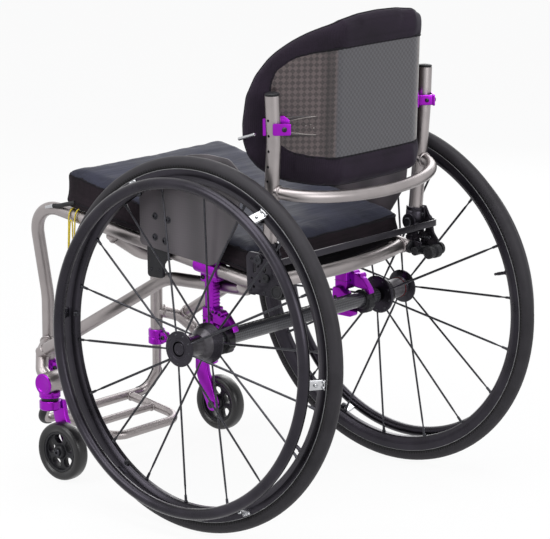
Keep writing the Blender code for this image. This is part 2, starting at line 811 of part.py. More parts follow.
def cross_tubes():
    """The bowed front and rear cross tubes, coped to the seat rails."""
    z = rail_z(FRONT_CROSS_Y)
    x = rail_x(FRONT_CROSS_Y)
    low = z - FRONT_CROSS_DROP
    end = z - FRONT_CROSS_END_DROP
    corners = [
        (x, FRONT_CROSS_Y, end),
        (FRONT_CROSS_SHOULDER, FRONT_CROSS_Y, low),
        (-FRONT_CROSS_SHOULDER, FRONT_CROSS_Y, low),
        (-x, FRONT_CROSS_Y, end),
    ]
    route = bent(corners, [FRONT_CROSS_RADIUS, FRONT_CROSS_RADIUS])
    front = finish(tube("front_cross_tube", route, FRONT_CROSS_TUBE), TITANIUM)
    rear_route = []
    rear_z = rail_z(REAR_CROSS_Y)
    for i in range(REAR_CROSS_STEPS + 1):
        share = math.cos(math.pi * i / REAR_CROSS_STEPS)
        bow = 1 - abs(share) ** REAR_CROSS_POWER
        y = REAR_CROSS_Y + REAR_CROSS_BULGE * bow
        rear_route.append((REAR_CROSS_END * share, y, rear_z - REAR_CROSS_DROP * bow))
    rear = finish(tube("rear_cross_tube", rear_route, REAR_CROSS_TUBE), TITANIUM)
    for word, side in SIDES.items():
        cut(front, rail_cutter(f"front_cope_{word}", side))
        cut(rear, rail_cutter(f"rear_cope_{word}", side))


def castor_housing(word, side):
    """The end cap of the castor barrel and the bearing collar under it."""
    cap = turned(
        f"barrel_cap_{word}",
        [
            (0, BARREL_CAP),
            (BARREL_DIAMETER / 2 - EDGE_CHAMFER, BARREL_CAP),
            (BARREL_DIAMETER / 2, BARREL_CAP - EDGE_CHAMFER),
            (BARREL_DIAMETER / 2, 0),
            (0, 0),
        ],
        ROUND_STEPS,
        closed=False,
    )
    finish(along_x(cap, side, BARREL_OUTER_X + GAP, STEM_Y, BARREL_Z), PURPLE)
    bore = STEM_RADIUS + GAP
    collar = turned(
        f"stem_collar_{word}",
        [
            (CROWN_RADIUS, STEM_COLLAR_TOP),
            (CROWN_RADIUS, STEM_COLLAR_BOTTOM),
            (bore, STEM_COLLAR_BOTTOM),
            (bore, STEM_COLLAR_TOP),
        ],
        ROUND_STEPS,
    )
    collar.location = (side * STEM_X, STEM_Y, 0)
    finish(collar, PURPLE)
    far_end = STEM_X + CROWN_RADIUS + OVERSHOOT - BARREL_INNER_X
    hollow = turned(
        f"{collar.name}_barrel_cut",
        [
            (0, far_end),
            (BARREL_DIAMETER / 2 + GAP, far_end),
            (BARREL_DIAMETER / 2 + GAP, -OVERSHOOT),
            (0, -OVERSHOOT),
        ],
        ROUND_STEPS,
        closed=False,
    )
    cut(collar, along_x(hollow, side, BARREL_INNER_X, STEM_Y, BARREL_Z))


def castor(word, side):
    """A single-sided fork that swivels on its stem, with its wheel, tyre and axle."""
    swivel = joint_axis(f"castor_swivel_{word}", (side * STEM_X, STEM_Y, CROWN_TOP))
    wheel_y = STEM_Y + CASTOR_TRAIL
    axle = joint_axis(f"castor_axis_{word}", (side * STEM_X, wheel_y, CASTOR_RADIUS))

    seat_top = STEM_COLLAR_BOTTOM - GAP
    fork = turned(
        f"castor_fork_{word}",
        [
            (0, STEM_TOP),
            (STEM_RADIUS, STEM_TOP),
            (STEM_RADIUS, seat_top),
            (CROWN_NECK_RADIUS, seat_top),
            (CROWN_NECK_RADIUS, CROWN_TOP),
            (CROWN_RADIUS, CROWN_TOP),
            (CROWN_RADIUS, CROWN_BOTTOM + CROWN_CHAMFER),
            (CROWN_RADIUS - CROWN_CHAMFER, CROWN_BOTTOM),
            (0, CROWN_BOTTOM),
        ],
        ROUND_STEPS,
        closed=False,
    )
    fork.location = (side * STEM_X, STEM_Y, 0)
    finish(fork, PURPLE, swivel)
    arm_outer = STEM_X - CASTOR_WIDTH / 2 - RUNNING_GAP
    arm_inner = arm_outer - FORK_ARM_THICKNESS
    boss = [
        (
            wheel_y + FORK_BOSS_RADIUS * math.cos(math.radians(a)),
            CASTOR_RADIUS + FORK_BOSS_RADIUS * math.sin(math.radians(a)),
        )
        for a in range(190, 371, 30)
    ]
    front, rear = [
        [(STEM_Y + y, CROWN_BOTTOM + z) for y, z in corners]
        for corners in (FORK_ARM_FRONT, FORK_ARM_REAR)
    ]
    outline = front + boss + rear
    join(fork, plate(f"{fork.name}_arm", outline, arm_inner, FORK_ARM_THICKNESS, side))
    bore_x = (arm_inner - OVERSHOOT, arm_outer + OVERSHOOT)
    ends = [(side * x, wheel_y, CASTOR_RADIUS) for x in bore_x]
    cut(fork, rod(f"{fork.name}_axle_bore", *ends, CASTOR_AXLE_RADIUS + GAP, sides=SMALL_STEPS))

    hub_half = CASTOR_WIDTH / 2 - CASTOR_HUB_INSET
    head = hub_half + CASTOR_AXLE_PLAY
    nut = arm_inner - STEM_X - GAP
    bolt = turned(
        f"castor_axle_{word}",
        [
            (0, head + CASTOR_HEAD_HEIGHT),
            (CASTOR_AXLE_HEAD, head + CASTOR_HEAD_HEIGHT),
            (CASTOR_AXLE_HEAD, head),
            (CASTOR_AXLE_RADIUS, head),
            (CASTOR_AXLE_RADIUS, nut),
            (CASTOR_AXLE_HEAD, nut),
            (CASTOR_AXLE_HEAD, nut - CASTOR_NUT_HEIGHT),
            (0, nut - CASTOR_NUT_HEIGHT),
        ],
        SMALL_STEPS,
        closed=False,
    )
    finish(along_x(bolt, side, STEM_X, wheel_y, CASTOR_RADIUS), SILVER, swivel)

    bore = CASTOR_AXLE_RADIUS + GAP
    wheel = turned(
        f"castor_wheel_{word}",
        [
            (CASTOR_HUB_RADIUS, hub_half),
            (CASTOR_HUB_RADIUS, -hub_half),
            (bore, -hub_half),
            (bore, hub_half),
        ],
        CASTOR_HUB_STEPS,
    )
    finish(along_x(wheel, side, STEM_X, wheel_y, CASTOR_RADIUS), BLACK_PLASTIC, axle)
    rim_half = CASTOR_RIM_WIDTH / 2
    rim_inner = CASTOR_RIM_RADIUS - CASTOR_RIM_WALL
    ring = turned(
        f"{wheel.name}_ring",
        [
            (CASTOR_RIM_RADIUS, rim_half),
            (CASTOR_RIM_RADIUS, -rim_half),
            (rim_inner, -rim_half),
            (rim_inner, rim_half),
        ],
        CASTOR_STEPS,
    )
    join(wheel, along_x(ring, side, STEM_X, wheel_y, CASTOR_RADIUS))
    for i in range(CASTOR_SPOKES):
        turn = Matrix.Rotation(math.tau * i / CASTOR_SPOKES, 3, "X")
        spoke = side_box(
            f"{wheel.name}_spoke_{i + 1}",
            side,
            (STEM_X - CASTOR_SPOKE_DEPTH / 2, STEM_X + CASTOR_SPOKE_DEPTH / 2),
            (wheel_y - CASTOR_SPOKE_WIDTH / 2, wheel_y + CASTOR_SPOKE_WIDTH / 2),
            (CASTOR_RADIUS + CASTOR_HUB_RADIUS - OVERLAP, CASTOR_RADIUS + rim_inner + OVERLAP),
            turn=turn,
            about=(side * STEM_X, wheel_y, CASTOR_RADIUS),
        )
        join(wheel, spoke)

    half_width = CASTOR_WIDTH / 2
    shoulder = CASTOR_RADIUS - CASTOR_SHOULDER_DROP
    tyre = turned(
        f"castor_tyre_{word}",
        [
            (CASTOR_RADIUS, half_width * CASTOR_TREAD_SHARE),
            (CASTOR_RADIUS, -half_width * CASTOR_TREAD_SHARE),
            (shoulder, -half_width * CASTOR_SHOULDER_SHARE),
            (CASTOR_RIM_RADIUS + GAP, -half_width),
            (CASTOR_RIM_RADIUS + GAP, half_width),
            (shoulder, half_width * CASTOR_SHOULDER_SHARE),
        ],
        CASTOR_STEPS,
    )
    finish(along_x(tyre, side, STEM_X, wheel_y, CASTOR_RADIUS), TYRE_RUBBER, axle)


TYRE_PROFILE = [
    (TYRE_RADIUS, TREAD_WIDTH / 2),
    (TYRE_RADIUS, -TREAD_WIDTH / 2),
    (TYRE_RADIUS - TYRE_SHOULDER_DROP, -TYRE_WIDTH * TYRE_SHOULDER_SHARE),
    (TYRE_RADIUS - TYRE_WIDEST_DROP, -TYRE_WIDTH / 2),
    (RIM_RADIUS + GAP, -TYRE_WIDTH * TYRE_BEAD_SHARE),
    (RIM_RADIUS + GAP, TYRE_WIDTH * TYRE_BEAD_SHARE),
    (TYRE_RADIUS - TYRE_WIDEST_DROP, TYRE_WIDTH / 2),
    (TYRE_RADIUS - TYRE_SHOULDER_DROP, TYRE_WIDTH * TYRE_SHOULDER_SHARE),
]

# The hub's height at which a leaning tyre just meets the floor
HUB_Z = max(r * math.cos(CAMBER) - z * math.sin(CAMBER) for r, z in TYRE_PROFILE)
# The camber tube's height, at which its end meets the leaning axle
CAMBER_TUBE_Z = HUB_Z - (HALF_TRACK - CAMBER_TUBE_HALF) * math.tan(CAMBER)
POST_BOTTOM = CAMBER_TUBE_Z + POST_BOTTOM_RISE
LOWER_CLAMP_BOTTOM, LOWER_CLAMP_TOP = [CAMBER_TUBE_Z + rise for rise in LOWER_CLAMP_RISE]


def on_wheel(radius, angle, offset):
    """A point in a wheel's own frame, its Z along the axle and outboard."""
    return Vector((radius * math.cos(angle), radius * math.sin(angle), offset))


def rear_wheel(word, side):
    """A rear wheel: hub with spokes, rim, tyre and handrim, all in the leaning wheel's frame."""
    lean = side * (math.pi / 2 - CAMBER)
    axis = joint_axis(f"wheel_axis_{word}", (side * HALF_TRACK, 0, HUB_Z), lean)
    finish(turned(f"tyre_{word}", TYRE_PROFILE, WHEEL_STEPS), TYRE_RUBBER, axis, local=True)

    half = RIM_WIDTH / 2
    inner_half = RIM_INNER_WIDTH / 2
    wall = RIM_RADIUS - RIM_WALL_HEIGHT
    rim_profile = [
        (RIM_RADIUS, half),
        (RIM_RADIUS, -half),
        (wall, -half),
        (RIM_INNER_RADIUS, -inner_half),
        (RIM_INNER_RADIUS, inner_half),
        (wall, half),
    ]
    rim = turned(f"rim_{word}", rim_profile, WHEEL_STEPS)
    finish(rim, BLACK_METAL, axis, local=True)

    outer_face = HUB_OUTER_FLANGE + HUB_FLANGE_THICKNESS / 2
    inner_face = HUB_INNER_FLANGE - HUB_FLANGE_THICKNESS / 2
    bore = AXLE_DIAMETER / 2 + GAP
    floor = outer_face - HUB_RECESS_DEPTH
    hub_profile = [
        (HUB_OUTER_FLANGE_RADIUS, outer_face),
        (HUB_OUTER_FLANGE_RADIUS, outer_face - HUB_FLANGE_THICKNESS),
        *HUB_WAIST,
        (HUB_INNER_FLANGE_RADIUS, HUB_INNER_FLANGE + HUB_FLANGE_THICKNESS / 2),
        (HUB_INNER_FLANGE_RADIUS, inner_face),
        (bore, inner_face),
        (bore, floor),
        (HUB_RECESS_RADIUS, floor),
        (HUB_RECESS_RADIUS, outer_face),
    ]
    hub = turned(f"hub_{word}", hub_profile, HUB_STEPS)
    finish(hub, BLACK_METAL, axis, local=True)
    start = LEFT_SPOKE_START if side > 0 else RIGHT_SPOKE_START
    for i in range(SPOKES):
        forward = start + side * math.tau * i / SPOKES
        # The wheel frame's X points down on the left wheel and up on the right
        angle = math.pi + forward if side > 0 else -forward
        outer = i % 2 == 0
        root_radius = HUB_OUTER_FLANGE_RADIUS if outer else HUB_INNER_FLANGE_RADIUS
        root_offset = HUB_OUTER_FLANGE if outer else HUB_INNER_FLANGE
        root = on_wheel(root_radius - SPOKE_ROOT_INSET, angle, root_offset)
        tip = on_wheel(RIM_INNER_RADIUS - GAP, angle, 0)
        spoke = tube(f"{hub.name}_spoke_{i + 1}", [root, tip], SPOKE_THICKNESS, sides=4)
        join(hub, spoke)

    tube_radius = HANDRIM_TUBE / 2
    section = []
    for i in range(HANDRIM_SIDES):
        angle = math.tau * (0.5 - i) / HANDRIM_SIDES
        across = HANDRIM_RADIUS + tube_radius * math.cos(angle)
        section.append((across, HANDRIM_OFFSET + tube_radius * math.sin(angle)))
    handrim = turned(f"handrim_{word}", section, WHEEL_STEPS)
    finish(handrim, BLACK_METAL, axis, local=True)
    foot_radius = wall + TAB_FOOT_RISE
    for i in range(HANDRIM_TABS):
        angle = HANDRIM_TAB_START + math.tau * i / HANDRIM_TABS
        foot = Vector((foot_radius, 0, half + GAP))
        head = Vector((HANDRIM_RADIUS, 0, HANDRIM_OFFSET))
        slope = Matrix.Rotation((head - foot).angle(Vector((0, 0, 1))), 3, "Y")
        tab = box(
            f"{handrim.name}_tab_{i + 1}",
            (foot_radius - TAB_THICKNESS / 2, -TAB_WIDTH / 2, half + GAP),
            (foot_radius + TAB_THICKNESS / 2, TAB_WIDTH / 2, half + GAP + (head - foot).length),
            turn=slope.inverted(),
            about=foot,
        )
        tab.rotation_euler = (0, 0, angle)
        join(handrim, tab)
        level = box(
            f"{handrim.name}_tab_trim_{i + 1}",
            (foot_radius - TAB_WIDTH, -TAB_WIDTH, half - OVERSHOOT),
            (foot_radius + TAB_WIDTH, TAB_WIDTH, half + GAP),
        )
        level.rotation_euler = (0, 0, angle)
        cut(handrim, level)

    axle_out = floor - GAP
    axle_in = (CAMBER_TUBE_HALF - HALF_TRACK) / math.cos(CAMBER) - AXLE_INSERTION
    well = BUTTON_STEM_RADIUS + GAP
    well_floor = axle_out - BUTTON_STEM_LENGTH - BUTTON_TRAVEL - RUNNING_GAP
    pin_profile = [
        (AXLE_DIAMETER / 2, axle_out),
        (AXLE_DIAMETER / 2, axle_in),
        (0, axle_in),
        (0, well_floor),
        (well, well_floor),
        (well, axle_out),
    ]
    pin = turned(f"axle_pin_{word}", pin_profile, PIN_STEPS)
    pin.location = (side * HALF_TRACK, 0, HUB_Z)
    pin.rotation_euler = (0, lean, 0)
    finish(pin, SILVER)
    button_low = floor + BUTTON_TRAVEL + GAP
    button = turned(
        f"axle_button_{word}",
        [
            (0, button_low + BUTTON_THICKNESS),
            (BUTTON_RADIUS - EDGE_CHAMFER, button_low + BUTTON_THICKNESS),
            (BUTTON_RADIUS, button_low + BUTTON_THICKNESS - EDGE_CHAMFER),
            (BUTTON_RADIUS, button_low),
            (BUTTON_STEM_RADIUS, button_low),
            (BUTTON_STEM_RADIUS, axle_out - BUTTON_STEM_LENGTH),
            (0, axle_out - BUTTON_STEM_LENGTH),
        ],
        PIN_STEPS,
        closed=False,
    )
    press = joint_axis(f"button_axis_{word}", (side * HALF_TRACK, 0, HUB_Z), lean)
    finish(button, BLACK_METAL, press, local=True)


def camber_tube():
    """The straight tube between the wheels, bored for the two leaning axles."""
    ends = [(x, 0, CAMBER_TUBE_Z) for x in (-CAMBER_TUBE_HALF, CAMBER_TUBE_HALF)]
    spar = finish(rod("camber_tube", *ends, CAMBER_TUBE / 2, ROUND_STEPS), CARBON)
    for word, side in SIDES.items():
        axle_in = (CAMBER_TUBE_HALF - HALF_TRACK) / math.cos(CAMBER) - AXLE_INSERTION - RUNNING_GAP
        bore = turned(
            f"camber_bore_{word}",
            [
                (0, 0.0),
                (AXLE_DIAMETER / 2 + GAP, 0.0),
                (AXLE_DIAMETER / 2 + GAP, axle_in),
                (0, axle_in),
            ],
            PIN_STEPS,
            closed=False,
        )
        along_x(bore, side, HALF_TRACK, 0, HUB_Z, turn=math.pi / 2 - CAMBER)
        cut(spar, bore)
        inner_edge = COLLAR_CENTRE - COLLAR_LENGTH / 2
        radius = CAMBER_TUBE / 2 + GAP
        collar = turned(
            f"camber_collar_{word}",
            [
                (COLLAR_RADIUS - COLLAR_CHAMFER, COLLAR_LENGTH),
                (COLLAR_RADIUS, COLLAR_LENGTH - COLLAR_CHAMFER),
                (COLLAR_RADIUS, COLLAR_CHAMFER),
                (COLLAR_RADIUS - COLLAR_CHAMFER, 0),
                (radius, 0),
                (radius, COLLAR_LENGTH),
            ],
            ROUND_STEPS,
        )
        finish(along_x(collar, side, inner_edge, 0, CAMBER_TUBE_Z), BLACK_PLASTIC)


def axle_bracket(word, side):
    """The clamp round the seat rail, with the height post that hangs from it."""
    half = RAIL_CLAMP_LENGTH / 2
    centre = Vector((side * rail_x(RAIL_CLAMP_Y), RAIL_CLAMP_Y, rail_z(RAIL_CLAMP_Y)))
    along = Vector((side * RAIL_DIRECTION.x, RAIL_DIRECTION.y, RAIL_DIRECTION.z))
    radius = RAIL_TUBE / 2 + RAIL_CLAMP_WALL
    ends = (centre - along * half, centre + along * half)
    bracket = finish(rod(f"axle_bracket_{word}", *ends, radius, ROUND_STEPS), PURPLE)
    x_range = (POST_X - POST_WIDTH / 2, POST_X + POST_WIDTH / 2)
    y_range = (POST_Y - POST_DEPTH / 2, POST_Y + POST_DEPTH / 2)
    top = rail_z(POST_Y) + POST_TOP_RISE
    post = side_box(f"{bracket.name}_post", side, x_range, y_range, (POST_BOTTOM, top))
    lug = side_box(
        f"{bracket.name}_lug",
        side,
        (POST_X - POST_WIDTH / 2, rail_x(POST_Y)),
        (y_range[0], POST_Y + BRACKET_LUG_REACH),
        [centre.z - drop for drop in BRACKET_LUG_DROP],
    )
    join(bracket, post, lug)
    cut(bracket, rail_cutter(f"{bracket.name}_bore", side))


def axle_clamp(word, side):
    """The sliding clamp on the post, reaching over and round the camber tube."""
    wall = LOWER_CLAMP_WALL
    x_low = POST_X - POST_WIDTH / 2 - wall
    x_high = POST_X + POST_WIDTH / 2 + wall
    y_low = POST_Y - POST_DEPTH / 2 - wall
    y_high = POST_Y + POST_DEPTH / 2 + wall
    clamp = side_box(
        f"axle_clamp_{word}",
        side,
        (x_low, x_high),
        (y_low, y_high),
        (LOWER_CLAMP_BOTTOM, LOWER_CLAMP_TOP),
    )
    finish(clamp, PURPLE)
    ring_low = TUBE_RING_X - TUBE_RING_WIDTH / 2
    ring_high = TUBE_RING_X + TUBE_RING_WIDTH / 2
    ring_radius = CAMBER_TUBE / 2 + TUBE_RING_WALL
    ring = rod(
        f"{clamp.name}_ring",
        (side * ring_low, 0, CAMBER_TUBE_Z),
        (side * ring_high, 0, CAMBER_TUBE_Z),
        ring_radius,
        ROUND_STEPS,
    )
    foot = side_box(
        f"{clamp.name}_foot",
        side,
        (ring_low, ring_high),
        (y_low, CLAMP_FOOT_REAR),
        (CAMBER_TUBE_Z - CLAMP_FOOT_DROP, LOWER_CLAMP_BOTTOM + 2 * OVERLAP),
    )
    arm_low = CAMBER_TUBE_Z + COLLAR_RADIUS + CLAMP_ARM_CLEARANCE
    arm_end = COLLAR_CENTRE + COLLAR_LENGTH * CLAMP_ARM_SHARE
    lap_below, lap_above = CLAMP_ARM_LAP
    arm = plate(
        f"{clamp.name}_arm",
        [
            (y_high - lap_below, arm_low),
            (CLAMP_ARM_REAR, arm_low),
            (CLAMP_ARM_REAR, arm_low + CLAMP_ARM_THICKNESS),
            (y_high - lap_above, LOWER_CLAMP_TOP - lap_above),
        ],
        ring_low,
        arm_end - ring_low,
        side,
    )
    join(clamp, ring, foot, arm)
    pocket = side_box(
        f"{clamp.name}_pocket",
        side,
        (POST_X - POST_WIDTH / 2 - GAP, POST_X + POST_WIDTH / 2 + GAP),
        (POST_Y - POST_DEPTH / 2 - GAP, POST_Y + POST_DEPTH / 2 + GAP),
        (POST_BOTTOM - GAP, LOWER_CLAMP_TOP + OVERSHOOT),
    )
    bore = rod(
        f"{clamp.name}_tube_bore",
        (side * (ring_low - OVERSHOOT), 0, CAMBER_TUBE_Z),
        (side * (x_high + OVERSHOOT), 0, CAMBER_TUBE_Z),
        CAMBER_TUBE / 2 + GAP,
        ROUND_STEPS,
    )
    cut(clamp, pocket, bore)
    collar_side = COLLAR_CENTRE - COLLAR_LENGTH / 2 - GAP
    room = turned(
        f"{clamp.name}_collar_room",
        [
            (0, 2 * COLLAR_LENGTH),
            (COLLAR_RADIUS + GAP, 2 * COLLAR_LENGTH),
            (COLLAR_RADIUS + GAP, 0),
            (0, 0),
        ],
        ROUND_STEPS,
        closed=False,
    )
    cut(clamp, along_x(room, side, collar_side, 0, CAMBER_TUBE_Z))


def footrest():
    """The hangers, front bar, side rails and cross bar of the footrest, welded into one."""
    slide = joint_axis("footrest_slide", (0, leg_y(HANGER_TOP), HANGER_TOP))
    route = hanger_route(HANGER_TOP)
    frame = finish(tube("footrest_frame", route, HANGER_TUBE, sides=8), TITANIUM, slide)
    loop_corners = [
        (FOOT_RAIL_X, FOOT_FRONT_Y, FOOT_FRONT_Z),
        (FOOT_RAIL_X, FOOT_REAR_Y, FOOT_REAR_Z),
        (-FOOT_RAIL_X, FOOT_REAR_Y, FOOT_REAR_Z),
        (-FOOT_RAIL_X, FOOT_FRONT_Y, FOOT_FRONT_Z),
    ]
    loop = bent(loop_corners, [FOOT_REAR_RADIUS, FOOT_REAR_RADIUS], step=FOOT_BEND_STEP)
    share = (FOOT_MIDDLE_Y - FOOT_FRONT_Y) / (FOOT_REAR_Y - FOOT_FRONT_Y)
    middle_z = FOOT_FRONT_Z + share * (FOOT_REAR_Z - FOOT_FRONT_Z)
    bar = [(x, FOOT_MIDDLE_Y, middle_z) for x in (-FOOT_RAIL_X, FOOT_RAIL_X)]
    join(
        frame,
        tube("footrest_loop", loop, FOOT_RAIL_TUBE, sides=8),
        tube("footrest_bar", bar, FOOT_RAIL_TUBE - 0.002, sides=8),
    )


def footrest_clamp(word, side):
    """The collar that clamps a footrest hanger in the end of its leg."""
    radius = RAIL_TUBE / 2 + FOOT_CLAMP_WALL
    heights = (FOOT_CLAMP_BOTTOM, FOOT_CLAMP_TOP)
    ends = [(side * LEG_X, leg_y(z), z) for z in heights]
    clamp = finish(rod(f"footrest_clamp_{word}", *ends, radius, ROUND_STEPS), PURPLE)
    rear = leg_y(FOOT_CLAMP_BOTTOM)
    trim_below, trim_above = FOOT_CLAMP_LUG_TRIM
    lug = side_box(
        f"{clamp.name}_lug",
        side,
        (LEG_X - FOOT_CLAMP_LUG / 2, LEG_X + FOOT_CLAMP_LUG / 2),
        (rear, rear + radius + FOOT_CLAMP_LUG_REACH),
        (FOOT_CLAMP_BOTTOM + trim_below, FOOT_CLAMP_TOP - trim_above),
    )
    bolt_y = rear + radius + FOOT_BOLT_Y
    bolt_z = (FOOT_CLAMP_BOTTOM + FOOT_CLAMP_TOP) / 2
    reach = FOOT_CLAMP_LUG / 2 + FOOT_BOLT_REACH
    bolt = rod(
        f"{clamp.name}_bolt",
        (side * (LEG_X - reach), bolt_y, bolt_z),
        (side * (LEG_X + reach), bolt_y, bolt_z),
        FOOT_BOLT_RADIUS,
        sides=SMALL_STEPS,
    )
    join(clamp, lug, bolt)
    cut(
        clamp,
        rail_cutter(f"{clamp.name}_leg_bore", side),
        hanger_cutter(f"{clamp.name}_hanger_bore"),
    )


def post_route(side, extra=0.0):
    """A back post from its foot to its top, or from a little below its foot."""
    foot = Vector(BACK_POST_FOOT)
    foot -= (Vector(BACK_POST_KNEE) - foot).normalized() * extra
    corners = mirrored([foot, BACK_POST_KNEE, BACK_POST_TOP], side)
    return bent(corners, [BACK_POST_RADIUS], step=FINE_BEND_STEP)


def post_cutter(name, side):
    return tube(name, post_route(side, GAP), BACK_POST_TUBE, clearance=GAP)


def back_frame():
    """The two back posts and the bowed push bar, welded into one."""
    posts = {
        word: tube(f"back_post_{word}", post_route(side), BACK_POST_TUBE)
        for word, side in SIDES.items()
    }
    frame = posts["left"]
    frame.name = "back_frame"
    finish(frame, TITANIUM, BACK_HINGE)
    end_y, end_z = PUSH_BAR_END
    bow = []
    for i in range(PUSH_BAR_STEPS + 1):
        angle = math.pi * i / PUSH_BAR_STEPS
        share = math.sin(angle)
        x = BACK_POST_X * math.cos(angle)
        bow.append((x, end_y + PUSH_BAR_REACH * share, end_z - PUSH_BAR_SAG * share))
    join(frame, tube("push_bar", bow, PUSH_BAR_TUBE), posts["right"])


def post_socket(word, side):
    """The socket that a back post stands in, with the lug that turns on the hinge pin."""
    lug_outer = PLATE_INNER_X - GAP
    lug = rod(
        f"post_socket_{word}",
        (side * LUG_INNER_X, HINGE_Y, HINGE_Z),
        (side * lug_outer, HINGE_Y, HINGE_Z),
        LUG_RADIUS,
        ROUND_STEPS,
    )
    finish(lug, BLACK_METAL, BACK_HINGE)
    foot = Vector(BACK_POST_FOOT)
    along = (Vector(BACK_POST_KNEE) - foot).normalized()
    low = foot - along * SOCKET_DEPTH
    high = foot + along * (SOCKET_TOP - foot.z)
    ends = mirrored([low, high], side)
    sleeve = rod(f"{lug.name}_sleeve", *ends, SOCKET_RADIUS, ROUND_STEPS)
    join(lug, sleeve)
    pin_x = (LUG_INNER_X - OVERSHOOT, lug_outer + OVERSHOOT)
    pin = [(side * x, HINGE_Y, HINGE_Z) for x in pin_x]
    cut(
        lug,
        post_cutter(f"{lug.name}_seat", side),
        rod(f"{lug.name}_pin_bore", *pin, HINGE_PIN_RADIUS + GAP, sides=SMALL_STEPS),
    )


def back_plate(word, side):
    """The slotted plate on the rail's end that carries the back hinge, with its lock knob."""
    face = plate(f"back_plate_{word}", PLATE_OUTLINE, PLATE_INNER_X, PLATE_THICKNESS, side)
    finish(face, BLACK_METAL)
    block = side_box(
        f"{face.name}_block",
        side,
        (rail_x(REAR_CROSS_Y) - PLATE_BLOCK_LAP, PLATE_INNER_X + OVERLAP),
        PLATE_CLAMP_Y,
        PLATE_CLAMP_Z,
    )
    knob_y, knob_z = KNOB_PLACE
    knob = rod(
        f"{face.name}_knob",
        (side * KNOB_INNER_X, knob_y, knob_z),
        (side * (PLATE_INNER_X + OVERLAP), knob_y, knob_z),
        KNOB_RADIUS,
        ROUND_STEPS,
    )
    join(face, block, knob)
    through = (PLATE_INNER_X - OVERSHOOT, PLATE_INNER_X + PLATE_THICKNESS + OVERSHOOT)
    slot = side_box(
        f"{face.name}_slot",
        side,
        through,
        (PLATE_SLOT_Y - PLATE_SLOT_WIDTH / 2, PLATE_SLOT_Y + PLATE_SLOT_WIDTH / 2),
        PLATE_SLOT_Z,
    )
    pin = [(side * x, HINGE_Y, HINGE_Z) for x in through]
    cut(
        face,
        rail_cutter(f"{face.name}_rail_bore", side),
        slot,
        rod(f"{face.name}_pin_bore", *pin, HINGE_PIN_RADIUS + GAP, sides=SMALL_STEPS),
    )


PLATE_OUTER_X = PLATE_INNER_X + PLATE_THICKNESS
RELEASE_ARM_X = PLATE_OUTER_X + RELEASE_ARM_GAP


def hinge_pin(word, side):
    """The pin through the plate, the socket's lug and the release bar's eye."""
    outer = RELEASE_ARM_X + RELEASE_BAR_THICKNESS + GAP
    inner = LUG_INNER_X - GAP
    pin = turned(
        f"hinge_pin_{word}",
        [
            (0, outer + HINGE_HEAD_HEIGHT),
            (HINGE_HEAD_RADIUS, outer + HINGE_HEAD_HEIGHT),
            (HINGE_HEAD_RADIUS, outer),
            (HINGE_PIN_RADIUS, outer),
            (HINGE_PIN_RADIUS, inner),
            (HINGE_HEAD_RADIUS, inner),
            (HINGE_HEAD_RADIUS, inner - HINGE_TAIL_HEIGHT),
            (0, inner - HINGE_TAIL_HEIGHT),
        ],
        SMALL_STEPS,
        closed=False,
    )
    finish(along_x(pin, side, 0, HINGE_Y, HINGE_Z), SILVER)


def release_bar():
    """The flat bar across the back that is lifted to unlock both hinges."""
    outer = RELEASE_ARM_X + RELEASE_BAR_THICKNESS
    outline = []
    for x, y, radius in (
        (outer, RELEASE_BAR_Y + RELEASE_BAR_THICKNESS, RELEASE_BAR_RADIUS),
        (-RELEASE_ARM_X, RELEASE_BAR_Y, RELEASE_BAR_RADIUS - RELEASE_BAR_THICKNESS),
    ):
        corners = [(x, HINGE_Y, 0), (x, y, 0), (-x, y, 0), (-x, HINGE_Y, 0)]
        outline += bent(corners, [radius, radius], step=WIDE_BEND_STEP)
    curve = bpy.data.curves.new("release_bar", "CURVE")
    curve.dimensions = "2D"
    curve.fill_mode = "BOTH"
    curve.extrude = RELEASE_BAR_HEIGHT / 2
    spline = curve.splines.new("POLY")
    spline.points.add(len(outline) - 1)
    for point, place in zip(spline.points, outline):
        point.co = (place.x, place.y, 0, 1)
    spline.use_cyclic_u = True
    level = Matrix.Translation((0, 0, RELEASE_BAR_Z))
    bar = solid_of(object_of("release_bar_outline", curve), "release_bar", level)
    finish(bar, BLACK_METAL, RELEASE_AXIS)
    for word, side in SIDES.items():
        ends = [(side * x, HINGE_Y, HINGE_Z) for x in (RELEASE_ARM_X, outer)]
        join(bar, rod(f"release_eye_{word}", *ends, RELEASE_EYE_RADIUS, sides=PIN_STEPS))
        through = (RELEASE_ARM_X - OVERSHOOT, outer + OVERSHOOT)
        ends = [(side * x, HINGE_Y, HINGE_Z) for x in through]
        cut(bar, rod(f"release_bore_{word}", *ends, HINGE_PIN_RADIUS + GAP, sides=SMALL_STEPS))


def back_point(s, z, depth):
    """The place on the back's shell at arc s and height z, depth in front of its rear face."""
    sign = 1 if s >= 0 else -1
    arc = abs(s)
    angle = SHELL_WING_ANGLE
    setback = SHELL_RADIUS * math.tan(angle / 2)
    bend_start = SHELL_FLAT_HALF - setback
    bend_length = SHELL_RADIUS * angle
    if arc <= bend_start:
        x, y, turn = arc, 0.0, 0.0
    elif arc <= bend_start + bend_length:
        turn = (arc - bend_start) / SHELL_RADIUS
        x = bend_start + SHELL_RADIUS * math.sin(turn)
        y = -SHELL_RADIUS * (1 - math.cos(turn))
    else:
        turn = angle
        rest = arc - bend_start - bend_length
        x = bend_start + SHELL_RADIUS * math.sin(turn) + rest * math.cos(turn)
        y = -SHELL_RADIUS * (1 - math.cos(turn)) - rest * math.sin(turn)
    x -= depth * math.sin(turn)
    y -= depth * math.cos(turn)
    lean = SHELL_LEAN * (z - SHELL_MIDDLE_Z)
    return Vector((sign * x, SHELL_BACK_Y + y + lean, z))


